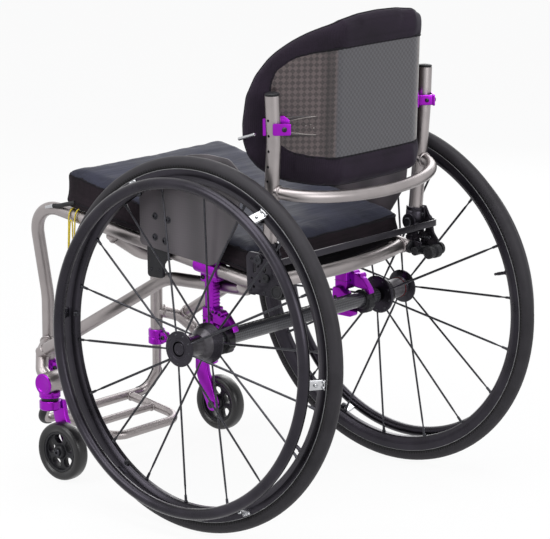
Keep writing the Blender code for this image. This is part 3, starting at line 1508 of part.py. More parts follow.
def slab(name, columns, rows, place):
    """A closed sheet shaped by place, which takes u and v from -1 to 1 and which face it is."""

    def build(shaped):
        bmesh.ops.create_grid(shaped, x_segments=columns, y_segments=rows, size=1)
        bmesh.ops.solidify(shaped, geom=shaped.faces[:], thickness=1)
        middle = sum(vert.co.z for vert in shaped.verts) / len(shaped.verts)
        for vert in shaped.verts:
            vert.co = place(vert.co.x, vert.co.y, vert.co.z > middle)
        bmesh.ops.triangulate(shaped, faces=shaped.faces, quad_method="SHORT_EDGE")

    return mesh_from(name, build)


def eased(share):
    """Moves evenly spaced grid lines closer together towards the rim."""
    return math.sin(share * math.pi / 2)


def rounded(u, v, power):
    """Moves a point of a square so that the square gets round corners."""
    reach = max(abs(u), abs(v))
    length = (abs(u) ** power + abs(v) ** power) ** (1 / power)
    ease = reach / length if length else 1.0
    return u * ease, v * ease


def shell_place(grow, front_depth, rear_depth):
    """Places a slab's grid on the shell's outline, its faces at two depths."""

    def place(u, v, front):
        across, up = rounded(u, v, SHELL_POWER)
        half_height = (SHELL_HALF_UP if v >= 0 else SHELL_HALF_DOWN) + grow
        s = across * (SHELL_HALF_WIDTH + grow)
        z = SHELL_MIDDLE_Z + up * half_height
        return back_point(s, z, front_depth if front else rear_depth)

    return place


def back_shell():
    """The rigid curved shell behind the back pad."""
    shell = slab("back_shell", SHELL_COLUMNS, SHELL_ROWS, shell_place(0.0, SHELL_THICKNESS, 0.0))
    finish(shell, SHELL_CARBON, BACK_HINGE)


def pad_place(u, v, front):
    """Places a slab's grid on the pad: a crown in front with two channels, a lip behind."""
    u, v = eased(u), eased(v)
    reach = max(abs(u), abs(v))
    across, up = rounded(u, v, PAD_POWER_UP if v >= 0 else PAD_POWER_DOWN)
    s = across * PAD_HALF_WIDTH
    z = PAD_MIDDLE_Z + up * (PAD_HALF_UP if v >= 0 else PAD_HALF_DOWN)
    if not front:
        return back_point(s, z, PAD_REAR_EDGE if reach > PAD_LIP_SHARE else -PAD_LIP)
    crown = (1 - min(reach, 1.0) ** PAD_CROWN_POWER) ** 0.5
    channel = PAD_CHANNEL_DEPTH * math.exp(-(((abs(s) - SHELL_FLAT_HALF) / PAD_CHANNEL_WIDTH) ** 2))
    depth = PAD_EDGE + (PAD_THICKNESS - PAD_EDGE - channel) * crown
    return back_point(s, z, depth)


def back_pad():
    """The padded cushion in front of the shell, with a lip round it."""
    pad = finish(slab("back_pad", PAD_COLUMNS, PAD_ROWS, pad_place), FABRIC, BACK_HINGE)
    room = shell_place(GAP, SHELL_THICKNESS + GAP, -PAD_THICKNESS / 2)
    cut(pad, slab("back_pad_room", SHELL_COLUMNS, SHELL_ROWS, room))


def shell_bracket(word, side):
    """The clamp on a back post whose tab holds the back shell."""
    knee = Vector(BACK_POST_KNEE)
    along = (Vector(BACK_POST_TOP) - knee).normalized()
    middle = knee + along * (BRACKET_Z - knee.z)
    radius = BACK_POST_TUBE / 2 + BRACKET_WALL
    half = BRACKET_HEIGHT / 2
    ends = mirrored([middle - along * half, middle + along * half], side)
    bracket = finish(rod(f"shell_bracket_{word}", *ends, radius, ROUND_STEPS), PURPLE, BACK_HINGE)

    def build(shaped):
        corners = []
        for s in BRACKET_TAB_S:
            for z in (BRACKET_Z - half, BRACKET_Z + half):
                for depth in (-GAP, -GAP - BRACKET_TAB):
                    place = back_point(s, z, depth)
                    corners.append(shaped.verts.new((side * place.x, place.y, place.z)))
        bmesh.ops.convex_hull(shaped, input=corners)

    join(bracket, mesh_from(f"{bracket.name}_tab", build))
    across = Vector((math.cos(SHELL_WING_ANGLE), -math.sin(SHELL_WING_ANGLE), 0))

    def build_stem(shaped):
        foot = back_point(BRACKET_TAB_S[1] - BRACKET_STEM / 2, BRACKET_Z, -GAP - BRACKET_TAB / 2)
        corners = []
        for centre in (middle, foot):
            for shift in (-BRACKET_STEM / 2, BRACKET_STEM / 2):
                for z in (-half * BRACKET_STEM_SHARE, half * BRACKET_STEM_SHARE):
                    place = centre + across * shift
                    corners.append(shaped.verts.new((side * place.x, place.y, middle.z + z)))
        bmesh.ops.convex_hull(shaped, input=corners)

    join(bracket, mesh_from(f"{bracket.name}_stem", build_stem))
    cut(bracket, post_cutter(f"{bracket.name}_bore", side))


def sling_drop(x):
    """How far the sling's top face lies below its edges at x."""
    half = rail_x(SLING_REAR_Y) - RAIL_TUBE / 2
    return SLING_SAG * max(0.0, 1 - (x / half) ** 2)


def cushion_place(u, v, top):
    """Places a slab's grid on the cushion: crowned, its sides drawn in, with shallow channels."""
    u, v = eased(u), eased(v)
    reach = max(abs(u), abs(v))
    across, along = rounded(u, v, CUSHION_SIDE_POWER)
    crown = (1 - min(reach, 1.0) ** CUSHION_CROWN_POWER) ** 0.5
    half_length = (CUSHION_REAR_Y - CUSHION_FRONT_Y) / 2
    y = (CUSHION_FRONT_Y + CUSHION_REAR_Y) / 2 + along * half_length
    x = across * (CUSHION_HALF_WIDTH - CUSHION_DRAW_IN * along**2 * (1 - along**2) * 4)
    edge = rail_z(y) + RAIL_TUBE / 2 + CUSHION_THICKNESS / 2
    if not top:
        low = rail_z(y) + SLING_RISE - sling_drop(x) + 2 * GAP
        if abs(x) > POST_X - POST_WIDTH / 2:
            low = rail_z(y) + RAIL_TUBE / 2 + RAIL_CLAMP_WALL + 2 * GAP
        return Vector((x, y, edge - (edge - low) * min(1.0, crown * CUSHION_BOTTOM_FULLNESS)))
    wide, long = CUSHION_DISH_SPREAD
    dish = math.exp(-((u / wide) ** 2) - ((v - CUSHION_DISH_MIDDLE) / long) ** 2) * CUSHION_DISH
    channels = sum(math.exp(-(((v - at) / CUSHION_CHANNEL_WIDTH) ** 2)) for at in CUSHION_CHANNELS)
    rise = CUSHION_THICKNESS / 2 - dish - CUSHION_CHANNEL_DEPTH * channels
    return Vector((x, y, edge + CUSHION_SIDE + rise * crown))


def cushion():
    """The seat cushion, lying in the sling between the rails."""
    finish(slab("seat_cushion", CUSHION_GRID, CUSHION_GRID, cushion_place), FABRIC)


def sling_place(u, v, top):
    y = SLING_FRONT_Y + (SLING_REAR_Y - SLING_FRONT_Y) * (v + 1) / 2
    level = RAIL_TUBE / 2 + GAP
    half = rail_x(y) - (level**2 - (SLING_RISE - SLING_THICKNESS) ** 2) ** 0.5
    z = rail_z(y) + SLING_RISE - sling_drop(u * half)
    return Vector((u * half, y, z if top else z - SLING_THICKNESS))


def seat_sling():
    """The fabric sling between the rails, notched for the clamps on them."""
    sling = finish(slab("seat_sling", SLING_COLUMNS, SLING_ROWS, sling_place), WEBBING)
    clamp_half = RAIL_CLAMP_LENGTH / 2
    outside = RAIL_HALF_SPAN + RAIL_TUBE
    notches = {
        "axle": (
            POST_X - POST_WIDTH / 2,
            RAIL_CLAMP_Y - clamp_half,
            RAIL_CLAMP_Y + clamp_half,
        ),
        "guard": (
            rail_x(GUARD_MOUNT_Y[0]) - RAIL_TUBE / 2 - GUARD_MOUNT_WALL,
            *GUARD_MOUNT_Y,
        ),
    }
    for word, side in SIDES.items():
        for place, (x, front, rear) in notches.items():
            room = SLING_NOTCH
            span = (front - room, rear + room)
            height = (rail_z(rear) - RAIL_TUBE, rail_z(front) + RAIL_TUBE)
            cut(sling, side_box(f"sling_notch_{place}_{word}", side, (x - room, outside), span, height))


def side_guard(word, side):
    """The panel that keeps clothes off the wheel."""
    guard = plate(f"side_guard_{word}", GUARD_OUTLINE, GUARD_INNER_X, GUARD_THICKNESS, side)
    finish(guard, GUARD_PLASTIC)


def guard_mount(word, side):
    """The block on the rail that the side guard is bolted to."""
    outer = GUARD_INNER_X - GAP
    span = (outer - GUARD_PLATE_THICKNESS, outer)
    mount = side_box(f"guard_mount_{word}", side, span, GUARD_PLATE_Y, GUARD_PLATE_Z)
    finish(mount, BLACK_PLASTIC)
    span = (rail_x(GUARD_MOUNT_Y[0]) - RAIL_TUBE / 2 - GUARD_MOUNT_WALL, outer - OVERLAP)
    block = side_box(f"{mount.name}_block", side, span, GUARD_MOUNT_Y, GUARD_MOUNT_Z)
    join(mount, block)
    cut(mount, rail_cutter(f"{mount.name}_bore", side))


def cushion_valve():
    """The cushion's filling hose with its metal tip, which lies on the left rail."""
    route = [(rail_x(y) + x, y, rail_z(y) + z) for x, y, z in VALVE_ROUTE]
    hose = finish(tube("cushion_valve", route, VALVE_HOSE, sides=8), BLACK_PLASTIC)
    join(hose, rod("cushion_valve_tip", route[-1], VALVE_TIP_END, VALVE_TIP / 2, sides=10))


def pull_cord():
    """The yellow cord that hangs in two loops over the left rail."""
    route = smooth_route(PULL_CORD_ROUTE, PULL_CORD_POINTS)
    place = Vector((rail_x(PULL_CORD_Y), PULL_CORD_Y, rail_z(PULL_CORD_Y)))
    finish(tube("pull_cord", [place + point for point in route], PULL_CORD, sides=8), YELLOW)


BACK_HINGE = joint_axis("back_hinge", (0, HINGE_Y, HINGE_Z))
RELEASE_AXIS = joint_axis("release_axis", (0, HINGE_Y, HINGE_Z))

for SIDE_WORD, SIDE_SIGN in SIDES.items():
    for make in (
        seat_rail,
        lower_frame,
        castor_housing,
        castor,
        rear_wheel,
        axle_bracket,
        axle_clamp,
        footrest_clamp,
        post_socket,
        back_plate,
        hinge_pin,
        shell_bracket,
        side_guard,
        guard_mount,
    ):
        make(SIDE_WORD, SIDE_SIGN)
for make in (
    cross_tubes,
    camber_tube,
    footrest,
    back_frame,
    release_bar,
    back_shell,
    back_pad,
    cushion,
    seat_sling,
    cushion_valve,
    pull_cord,
):
    make()
bpy.context.view_layer.update()
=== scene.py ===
"""Dresses a rigid titanium wheelchair: bent tubes, woven back shell, padded seat, wheels and studio."""

import math

import bpy
from bpy.props import FloatProperty, FloatVectorProperty, PointerProperty
from bpy.types import Operator, Panel, PropertyGroup
from mathutils import Matrix, Vector, noise


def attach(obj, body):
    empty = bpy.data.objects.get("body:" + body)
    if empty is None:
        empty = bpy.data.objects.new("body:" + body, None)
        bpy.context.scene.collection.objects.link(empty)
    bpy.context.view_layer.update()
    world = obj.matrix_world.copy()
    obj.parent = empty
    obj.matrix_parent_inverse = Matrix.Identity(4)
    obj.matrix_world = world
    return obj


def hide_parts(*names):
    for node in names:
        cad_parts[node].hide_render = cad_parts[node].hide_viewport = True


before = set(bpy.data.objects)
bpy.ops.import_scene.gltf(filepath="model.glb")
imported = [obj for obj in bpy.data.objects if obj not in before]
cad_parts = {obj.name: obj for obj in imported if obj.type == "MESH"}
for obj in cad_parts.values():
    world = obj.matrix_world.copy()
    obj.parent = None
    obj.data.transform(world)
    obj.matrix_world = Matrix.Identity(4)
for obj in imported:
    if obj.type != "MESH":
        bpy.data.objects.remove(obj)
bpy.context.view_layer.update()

bl_info = {
    "name": "Titanium wheelchair",
    "version": (1, 0, 0),
    "blender": (4, 5, 0),
    "location": "3D View > Sidebar > Wheelchair",
    "description": "Dresses a rigid wheelchair's frame with finished tubes, wheels, seat, back and studio",
    "category": "Add Mesh",
}

SIDES = {"left": 1, "right": -1}

# Places are measured from the rear axle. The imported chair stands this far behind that
AXLE_Y = 0.092375
CAMBER = math.radians(2.4)
HUB_Z = 0.3044004
HALF_TRACK = 0.24925
CAMBER_TUBE_Z = 0.302776

# The castors: their stems, wheels and barrels
STEM_X, STEM_Y = 0.2013, -0.3865
CASTOR_Y, CASTOR_Z = STEM_Y + 0.0285, 0.0508
BARREL_Z = 0.167

# The frame: the left seat rail's middle line, the front legs, the side guards' blocks and the cushion
RAIL_REAR, RAIL_FRONT = (0.190, 0.092, 0.4045), (0.186, -0.430, 0.4803)
RAIL_RUN, RAIL_RISE = 0.522, 0.0758
RAIL_RADIUS, BEAD_RADIUS = 0.0111, 0.0113
LEG_X = 0.1365
GUARD_MOUNT_Y = (-0.138, -0.104)
CUSHION_Y = -0.1375

# The back: its hinges, the left post's foot, the middle of the shell and its brackets' height
HINGE_Y, HINGE_Z = 0.104, 0.452
POST_FOOT = (0.186, 0.1065, 0.475)
BACK_Z = 0.692
BRACKET_Z = 0.6605

# Turns a drawing's X into the chair's Y and its Y into the chair's Z
ACROSS = Matrix(((0, 0, 1, 0), (1, 0, 0, 0), (0, 1, 0, 0), (0, 0, 0, 1)))
DIAGONAL = 0.7071
TUBE_SIDES = 28


def linear(hex_colour):
    """The linear colour of an sRGB hex colour."""
    shades = [int(hex_colour[i : i + 2], 16) / 255 for i in (1, 3, 5)]
    return [s / 12.92 if s <= 0.04045 else ((s + 0.055) / 1.055) ** 2.4 for s in shades]


# ---------------------------------------------------------------- drawing and shaping


def deselect():
    """Leaves every piece unselected, in object mode."""
    if bpy.context.mode != "OBJECT":
        bpy.ops.object.mode_set(mode="OBJECT")
    bpy.ops.object.select_all(action="DESELECT")


def choose(*objects):
    """Selects only these pieces, the first one active."""
    deselect()
    for obj in objects:
        obj.select_set(True)
    bpy.context.view_layer.objects.active = objects[0]
    return objects[0]


def edit(obj):
    """Opens a mesh in edit mode with all of it selected."""
    choose(obj)
    bpy.ops.object.mode_set(mode="EDIT")
    bpy.ops.mesh.select_all(action="SELECT")


def close(obj):
    """Leaves edit mode."""
    bpy.ops.object.mode_set(mode="OBJECT")
    return obj


def rounded(corners, radii, closed=False, step=math.radians(10)):
    """A route through corners, each bent to its radius. One radius does for all of them."""
    corners = [Vector(corner).to_3d() for corner in corners]
    count = len(corners)
    bends = range(count) if closed else range(1, count - 1)
    if not isinstance(radii, (list, tuple)):
        radii = [radii] * len(bends)
    route = [] if closed else [corners[0]]
    for i, radius in zip(bends, radii):
        corner = corners[i]
        into = corner - corners[i - 1]
        out = corners[(i + 1) % count] - corner
        angle = into.angle(out)
        if radius <= 0 or angle < 0.01:
            route.append(corner)
            continue
        room = min(into.length, out.length) * 0.49
        setback = min(radius * math.tan(angle / 2), room)
        bend = setback / math.tan(angle / 2)
        into.normalize()
        out.normalize()
        centre = corner + (out - into).normalized() * bend / math.cos(angle / 2)
        start = corner - into * setback - centre
        axis = into.cross(out).normalized()
        pieces = max(2, math.ceil(angle / step))
        for k in range(pieces + 1):
            route.append(centre + Matrix.Rotation(angle * k / pieces, 3, axis) @ start)
    return route if closed else route + [corners[-1]]


def add_run(line, points, closed=False):
    """Adds a straight-edged run through points to a line."""
    run = line.data.splines.new("POLY")
    run.points.add(len(points) - 1)
    for point, place in zip(run.points, points):
        point.co = (*Vector(place).to_3d(), 1)
    run.use_cyclic_u = closed


def draw(points, closed=False, flat=False):
    """Draws a line through points."""
    deselect()
    bpy.ops.curve.primitive_bezier_curve_add(location=(0, 0, 0))
    line = bpy.context.object
    line.data.splines.clear()
    line.data.dimensions = "2D" if flat else "3D"
    add_run(line, points, closed)
    return line


def to_mesh(line):
    """Turns a drawn line into a mesh with its seams merged and its faces outward."""
    choose(line)
    bpy.ops.object.convert(target="MESH")
    obj = bpy.context.object
    edit(obj)
    bpy.ops.mesh.remove_doubles(threshold=1e-5)
    bpy.ops.mesh.normals_make_consistent(inside=False)
    return close(obj)


def pipe(route, radius, sides=24, closed=False, radii=None):
    """A round bar along a route, with flat ends. radii swells or thins it at each point."""
    line = draw(route, closed)
    line.data.bevel_depth = radius
    line.data.bevel_resolution = (sides - 4) // 2
    line.data.use_fill_caps = not closed
    if radii:
        for point, share in zip(line.data.splines[0].points, radii):
            point.radius = share
    return to_mesh(line)


def turned(profile, steps=48, closed=False, ease=0.0):
    """Spins a profile of (radius, height) points round Z, its corners eased by a small radius."""
    points = [(r, 0, h) for r, h in profile]
    if ease:
        points = rounded(points, ease, closed, step=math.radians(30))
    obj = to_mesh(draw(points, closed))
    edit(obj)
    bpy.ops.mesh.spin(steps=steps, angle=math.tau, center=(0, 0, 0), axis=(0, 0, 1))
    bpy.ops.mesh.select_all(action="SELECT")
    bpy.ops.mesh.remove_doubles(threshold=1e-5)
    bpy.ops.mesh.normals_make_consistent(inside=False)
    return close(obj)


def plate(outline, thickness, edge=0.0007, holes=()):
    """A flat plate in XY, centred on its thickness, with eased edges and holes."""
    line = draw(outline, closed=True, flat=True)
    for hole in holes:
        add_run(line, hole, closed=True)
    line.data.fill_mode = "BOTH"
    line.data.extrude = thickness / 2 - edge
    line.data.bevel_depth = edge
    line.data.bevel_resolution = 1
    line.data.offset = -edge
    return to_mesh(line)


def ring_of(x, y, radius, count=16):
    """Points of a circle in XY, as an outline or a hole."""
    turns = [math.tau * i / count for i in range(count)]
    return [(x + radius * math.cos(a), y + radius * math.sin(a), 0) for a in turns]


def block(low, high, edge=0.001, segments=2):
    """A block between two corners, its edges bevelled."""
    low, high = Vector(low), Vector(high)
    deselect()
    bpy.ops.mesh.primitive_cube_add(size=1, location=(low + high) / 2)
    obj = bpy.context.object
    obj.scale = high - low
    bpy.ops.object.transform_apply(location=True, rotation=True, scale=True)
    edit(obj)
    bpy.ops.mesh.bevel(offset=edge, segments=segments, affect="EDGES")
    return close(obj)


def put(obj, place):
    """Moves a piece's mesh to its place."""
    choose(obj)
    obj.matrix_world = place
    bpy.ops.object.transform_apply(location=True, rotation=True, scale=True)
    return obj


def aim(start, end):
    """The place whose Z points from start to end."""
    start = Vector(start)
    turn = Vector((0, 0, 1)).rotation_difference(Vector(end) - start)
    return Matrix.Translation(start) @ turn.to_matrix().to_4x4()


def fore_aft(obj, x):
    """Stands a flat plate fore and aft, at x. Its X becomes the chair's Y and its Y the chair's Z."""
    return put(obj, Matrix.Translation((x, 0, 0)) @ ACROSS)


def slab(corners, bends, thickness, x, edge, holes=()):
    """A plate with rounded corners that stands fore and aft, at x."""
    return fore_aft(plate(rounded(corners, bends, closed=True), thickness, edge, holes), x)


def copies(obj, places):
    """Copies a piece, each copy with its own mesh, to each place, and takes the first away."""
    made = []
    for place in places:
        choose(obj)
        bpy.ops.object.duplicate(linked=False)
        made.append(put(bpy.context.object, place))
    bpy.data.objects.remove(obj, do_unlink=True)
    return made


def turned_over(obj):
    """A copy of a piece, turned over about X."""
    choose(obj)
    bpy.ops.object.duplicate(linked=False)
    return put(bpy.context.object, Matrix.Rotation(math.pi, 4, "X"))


def joined(*parts):
    """Several pieces made one. The first keeps its name, and what is None is left out."""
    parts = [part for part in parts if part]
    if len(parts) > 1:
        choose(*parts)
        bpy.ops.object.join()
    return parts[0]


def mirrored(obj):
    """The same piece for the other side, with its own mesh."""
    choose(obj)
    bpy.ops.object.duplicate(linked=False)
    other = bpy.context.object
    edit(other)
    bpy.ops.transform.resize(value=(-1, 1, 1), center_override=(0, 0, 0))
    bpy.ops.mesh.flip_normals()
    return close(other)


def apply_modifier(obj, kind, **settings):
    """Adds a modifier with its settings and applies it."""
    choose(obj)
    modifier = obj.modifiers.new(kind.lower(), kind)
    for key, value in settings.items():
        setattr(modifier, key, value)
    bpy.ops.object.modifier_apply(modifier=modifier.name)
    return obj


def carve(obj, cutter):
    """Cuts one piece's shape out of another and takes the cutter away."""
    apply_modifier(obj, "BOOLEAN", object=cutter, operation="DIFFERENCE", solver="EXACT")
    bpy.data.objects.remove(cutter, do_unlink=True)


def unroll(obj, radius):
    """Lays UVs in metres round a turned piece, before it is put in place: round it, then across it."""
    layer = obj.data.uv_layers.active or obj.data.uv_layers.new(name="UVMap")
    for face in obj.data.polygons:
        places = [obj.data.vertices[i].co for i in face.vertices]
        middle = math.atan2(sum(p.y for p in places), sum(p.x for p in places))
        for loop, place in zip(face.loop_indices, places):
            angle = math.atan2(place.y, place.x)
            angle += math.tau * round((middle - angle) / math.tau)
            across = place.z + (radius - place.to_2d().length) * (1 if face.normal.z >= 0 else -1)
            layer.data[loop].uv = (angle * radius, across)
    return obj


def paint(obj, finish, test):
    """Gives a second finish to the faces that pass the test."""
    obj.data.materials.append(finish)
    slot = len(obj.data.materials) - 1
    for face in obj.data.polygons:
        if test(face):
            face.material_index = slot


def seat(obj, name, body, finish, replaces=(), smooth=35, from_axle=True):
    """Finishes a piece: puts it in the chair, smooths it, and names its body and material."""
    choose(obj)
    if from_axle:
        obj.location.y += AXLE_Y
    bpy.ops.object.transform_apply(location=True, rotation=True, scale=True)
    if smooth:
        bpy.ops.object.shade_smooth_by_angle(angle=math.radians(smooth))
    obj.name = obj.data.name = name
    if obj.data.materials:
        obj.data.materials[0] = finish
    else:
        obj.data.materials.append(finish)
    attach(obj, body)
    if replaces:
        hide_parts(*replaces)
    return obj


def laid_on(surface, points, rise=0.0):
    """The points moved on to a piece's surface, and rise above it."""
    laid = []
    for point in points:
        _, place, normal, _ = surface.closest_point_on_mesh(point)
        laid.append(place + normal * rise)
    return laid


def sided(text, word):
    """A name that ends in side, for one side."""
    return text[: -len("side")] + word if text.endswith("side") else text


def seat_pair(obj, name, body, finish, replaces=(), smooth=35):
    """Finishes a left piece and its mirrored right one. A name's last word, side, becomes left or right."""
    for word, piece in (("right", mirrored(obj)), ("left", obj)):
        nodes = [sided(node, word) for node in replaces]
        seat(piece, sided(name, word), sided(body, word), finish, nodes, smooth)


def bolt(start, end, radius=0.0035, head=0.0022):
    """A button-head bolt with a hexagon socket, its head standing from start towards end."""
    socket = [(0, head * 0.35), (radius * 0.42, head * 0.35), (radius * 0.46, head)]
    crown = [(radius * 0.62, head), (radius * 0.9, head * 0.62), (radius, head * 0.12), (radius, -0.0008)]
    obj = turned([*socket, *crown, (0, -0.0008)], steps=18)
    return put(obj, aim(start, end))


def seat_bolts(name, body, *parts):
    """Finishes black bolts, those of one side as one piece."""
    seat_pair(joined(*parts), name, body, finish_of(black_oxide_steel))


def cross_bolt(x, y, z, radius, head, toward=0.3):
    """A bolt across the chair, its head outboard. A toward below x turns the head inboard."""
    return bolt((x, y, z), (toward, y, z), radius, head)


def weld(start, end, radius=BEAD_RADIUS, bead=0.0016):
    """A ripple-stacked weld bead round a tube, at start, facing end."""
    deselect()
    bpy.ops.mesh.primitive_torus_add(
        major_segments=56, minor_segments=8, major_radius=radius, minor_radius=bead
    )
    obj = bpy.context.object
    for vert in obj.data.vertices:
        turn = math.atan2(vert.co.y, vert.co.x)
        ripple = 1 + 0.16 * abs(math.sin(turn * 14))
        middle = Vector((radius * math.cos(turn), radius * math.sin(turn), 0))
        vert.co = middle + (vert.co - middle) * ripple
    return put(obj, aim(start, end))


# ---------------------------------------------------------------- finishes


def add(tree, kind, settings):
    """Adds a node. A setting is an option, a socket's value, or another node's output to link in."""
    node = tree.nodes.new(kind)
    for key, value in settings.items():
        if key == "stops":
            elements = node.color_ramp.elements
            while len(elements) < len(value):
                elements.new(0.5)
            for element, (position, colour) in zip(elements, value):
                element.position = position
                element.color = (*(linear(colour) if isinstance(colour, str) else colour), 1)
        elif isinstance(value, bpy.types.NodeSocket):
            tree.links.new(value, node.inputs[key])
        elif isinstance(key, int) or key in node.inputs:
            node.inputs[key].default_value = value
        else:
            setattr(node, key, value)
    return node


def new_finish(name, sockets):
    """Starts a material with the values that are the same all over, and the piece's coordinates."""
    finish = bpy.data.materials.new(name)
    finish.use_nodes = True
    tree = finish.node_tree
    surface = tree.nodes["Principled BSDF"]
    for socket, value in sockets.items():
        surface.inputs[socket].default_value = value
    place = add(tree, "ShaderNodeTexCoord", {})
    return finish, tree, surface, place


def coat(tree, surface, colour, rough, relief):
    """Links what a finish ends in to its surface."""
    for output, socket in ((colour, "Base Color"), (rough, "Roughness"), (relief, "Normal")):
        tree.links.new(output, surface.inputs[socket])


def clouded(tree, surface, place, size, shades, rough, grain=0.0012, depth=0.00004):
    """Colour and roughness that drift over size metres, and a fine grain that catches the light."""
    drift = add(tree, "ShaderNodeTexNoise", {"Vector": place, "Scale": 1 / size, "Detail": 4.0})
    colour = add(tree, "ShaderNodeValToRGB", {"Fac": drift.outputs["Fac"], "stops": shades})
    speck = add(tree, "ShaderNodeTexNoise", {"Vector": place, "Scale": 1 / grain, "Detail": 2.0})
    mixed = {"operation": "MULTIPLY_ADD", 0: speck.outputs["Fac"], 1: 0.35, 2: drift.outputs["Fac"]}
    mixed = add(tree, "ShaderNodeMath", mixed)
    band = {"From Min": 0.4, "From Max": 0.95, "To Min": rough[0], "To Max": rough[1]}
    level = add(tree, "ShaderNodeMapRange", {"Value": mixed.outputs[0], **band})
    relief = {"Height": speck.outputs["Fac"], "Strength": 0.5, "Distance": depth}
    bump = add(tree, "ShaderNodeBump", relief)
    coat(tree, surface, colour.outputs["Color"], level.outputs["Result"], bump.outputs["Normal"])
    return bump


def drifting(name, sockets, size, shades, rough, **grain):
    """A finish of one colour that drifts a little over size metres."""
    finish, tree, surface, place = new_finish(name, sockets)
    clouded(tree, surface, place.outputs["Object"], size, shades, rough, **grain)
    return finish


def two(dark, light):
    """A darker and a lighter shade, placed for a ramp."""
    return [(0.3, dark), (0.7, light)]


def around(colour, spread):
    """Two shades of a colour, a little darker and a little lighter, for a ramp."""
    return two([c * (1 - spread) for c in colour], [c * (1 + spread) for c in colour])


def bead_blasted_titanium():
    # Titanium tube, bead blasted: a warm satin grey whose highlights are broad and a little speckled
    shades = around(colours().titanium, 0.1)
    return drifting("bead_blasted_titanium", {"Metallic": 1.0}, 0.05, shades, (0.3, 0.42), depth=0.00006)


def purple_anodised_aluminium():
    # Machined aluminium, dyed purple: deep violet with a bright satin edge to the light
    shades = around(colours().anodised, 0.12)
    return drifting("purple_anodised_aluminium", {"Metallic": 1.0}, 0.03, shades, (0.26, 0.38))


def black_anodised_aluminium():
    # Extruded aluminium rim and push ring, black anodised: long soft highlights on a blue black
    values = {"Metallic": 0.85, "Coat Weight": 0.12, "Coat Roughness": 0.3}
    return drifting("black_anodised_aluminium", values, 0.06, two("#252329", "#333038"), (0.24, 0.36))


def machined_aluminium_dark_reflection():
    # Hub barrel turned on a lathe: fine rings that draw the light into bright bands. Its dark grey on silver metal
    # is a painted dark reflection
    shades = two("#454347", "#5A585C")
    return drifting("machined_aluminium_dark_reflection", {"Metallic": 1.0}, 0.01, shades, (0.28, 0.4))


def satin_steel():
    # Stainless pins and ferrules: bright, with a slight brushed haze
    return drifting("satin_steel", {"Metallic": 1.0}, 0.008, two("#B2B3B6", "#C6C7CA"), (0.2, 0.34))


def black_oxide_steel():
    # Button-head bolts, blackened: dark with small hard glints on the crown
    shades = two("#303034", "#434348")
    return drifting("black_oxide_steel", {"Metallic": 0.9}, 0.004, shades, (0.26, 0.4))


def black_moulded_nylon():
    # Glass-filled nylon mouldings: near black, finely pebbled, a dull sheen on rounded edges
    values, shades = {"Specular IOR Level": 0.3}, two("#161619", "#202024")
    return drifting("black_moulded_nylon", values, 0.02, shades, (0.4, 0.56), grain=0.0015)


def tows(tree, place, pitch, turn):
    """A plain weave: where it lies, which of its two tows is on top, and how high that one stands."""
    laid = {"Vector": place.outputs["UV"], "Rotation": (0, 0, math.radians(turn)), "Scale": [1 / pitch] * 3}
    laid = add(tree, "ShaderNodeMapping", laid).outputs["Vector"]
    checks = add(tree, "ShaderNodeTexChecker", {"Vector": laid, "Scale": 1.0}).outputs["Fac"]
    waves = []
    for way in ("X", "Y"):
        wave = {"Vector": laid, "Scale": 0.5, "bands_direction": way, "Distortion": 0.0}
        waves.append(add(tree, "ShaderNodeTexWave", {"wave_profile": "SIN", **wave}).outputs["Fac"])
    crown = {"data_type": "FLOAT", 0: checks, 2: waves[0], 3: waves[1]}
    return laid, checks, add(tree, "ShaderNodeMix", crown).outputs[0]


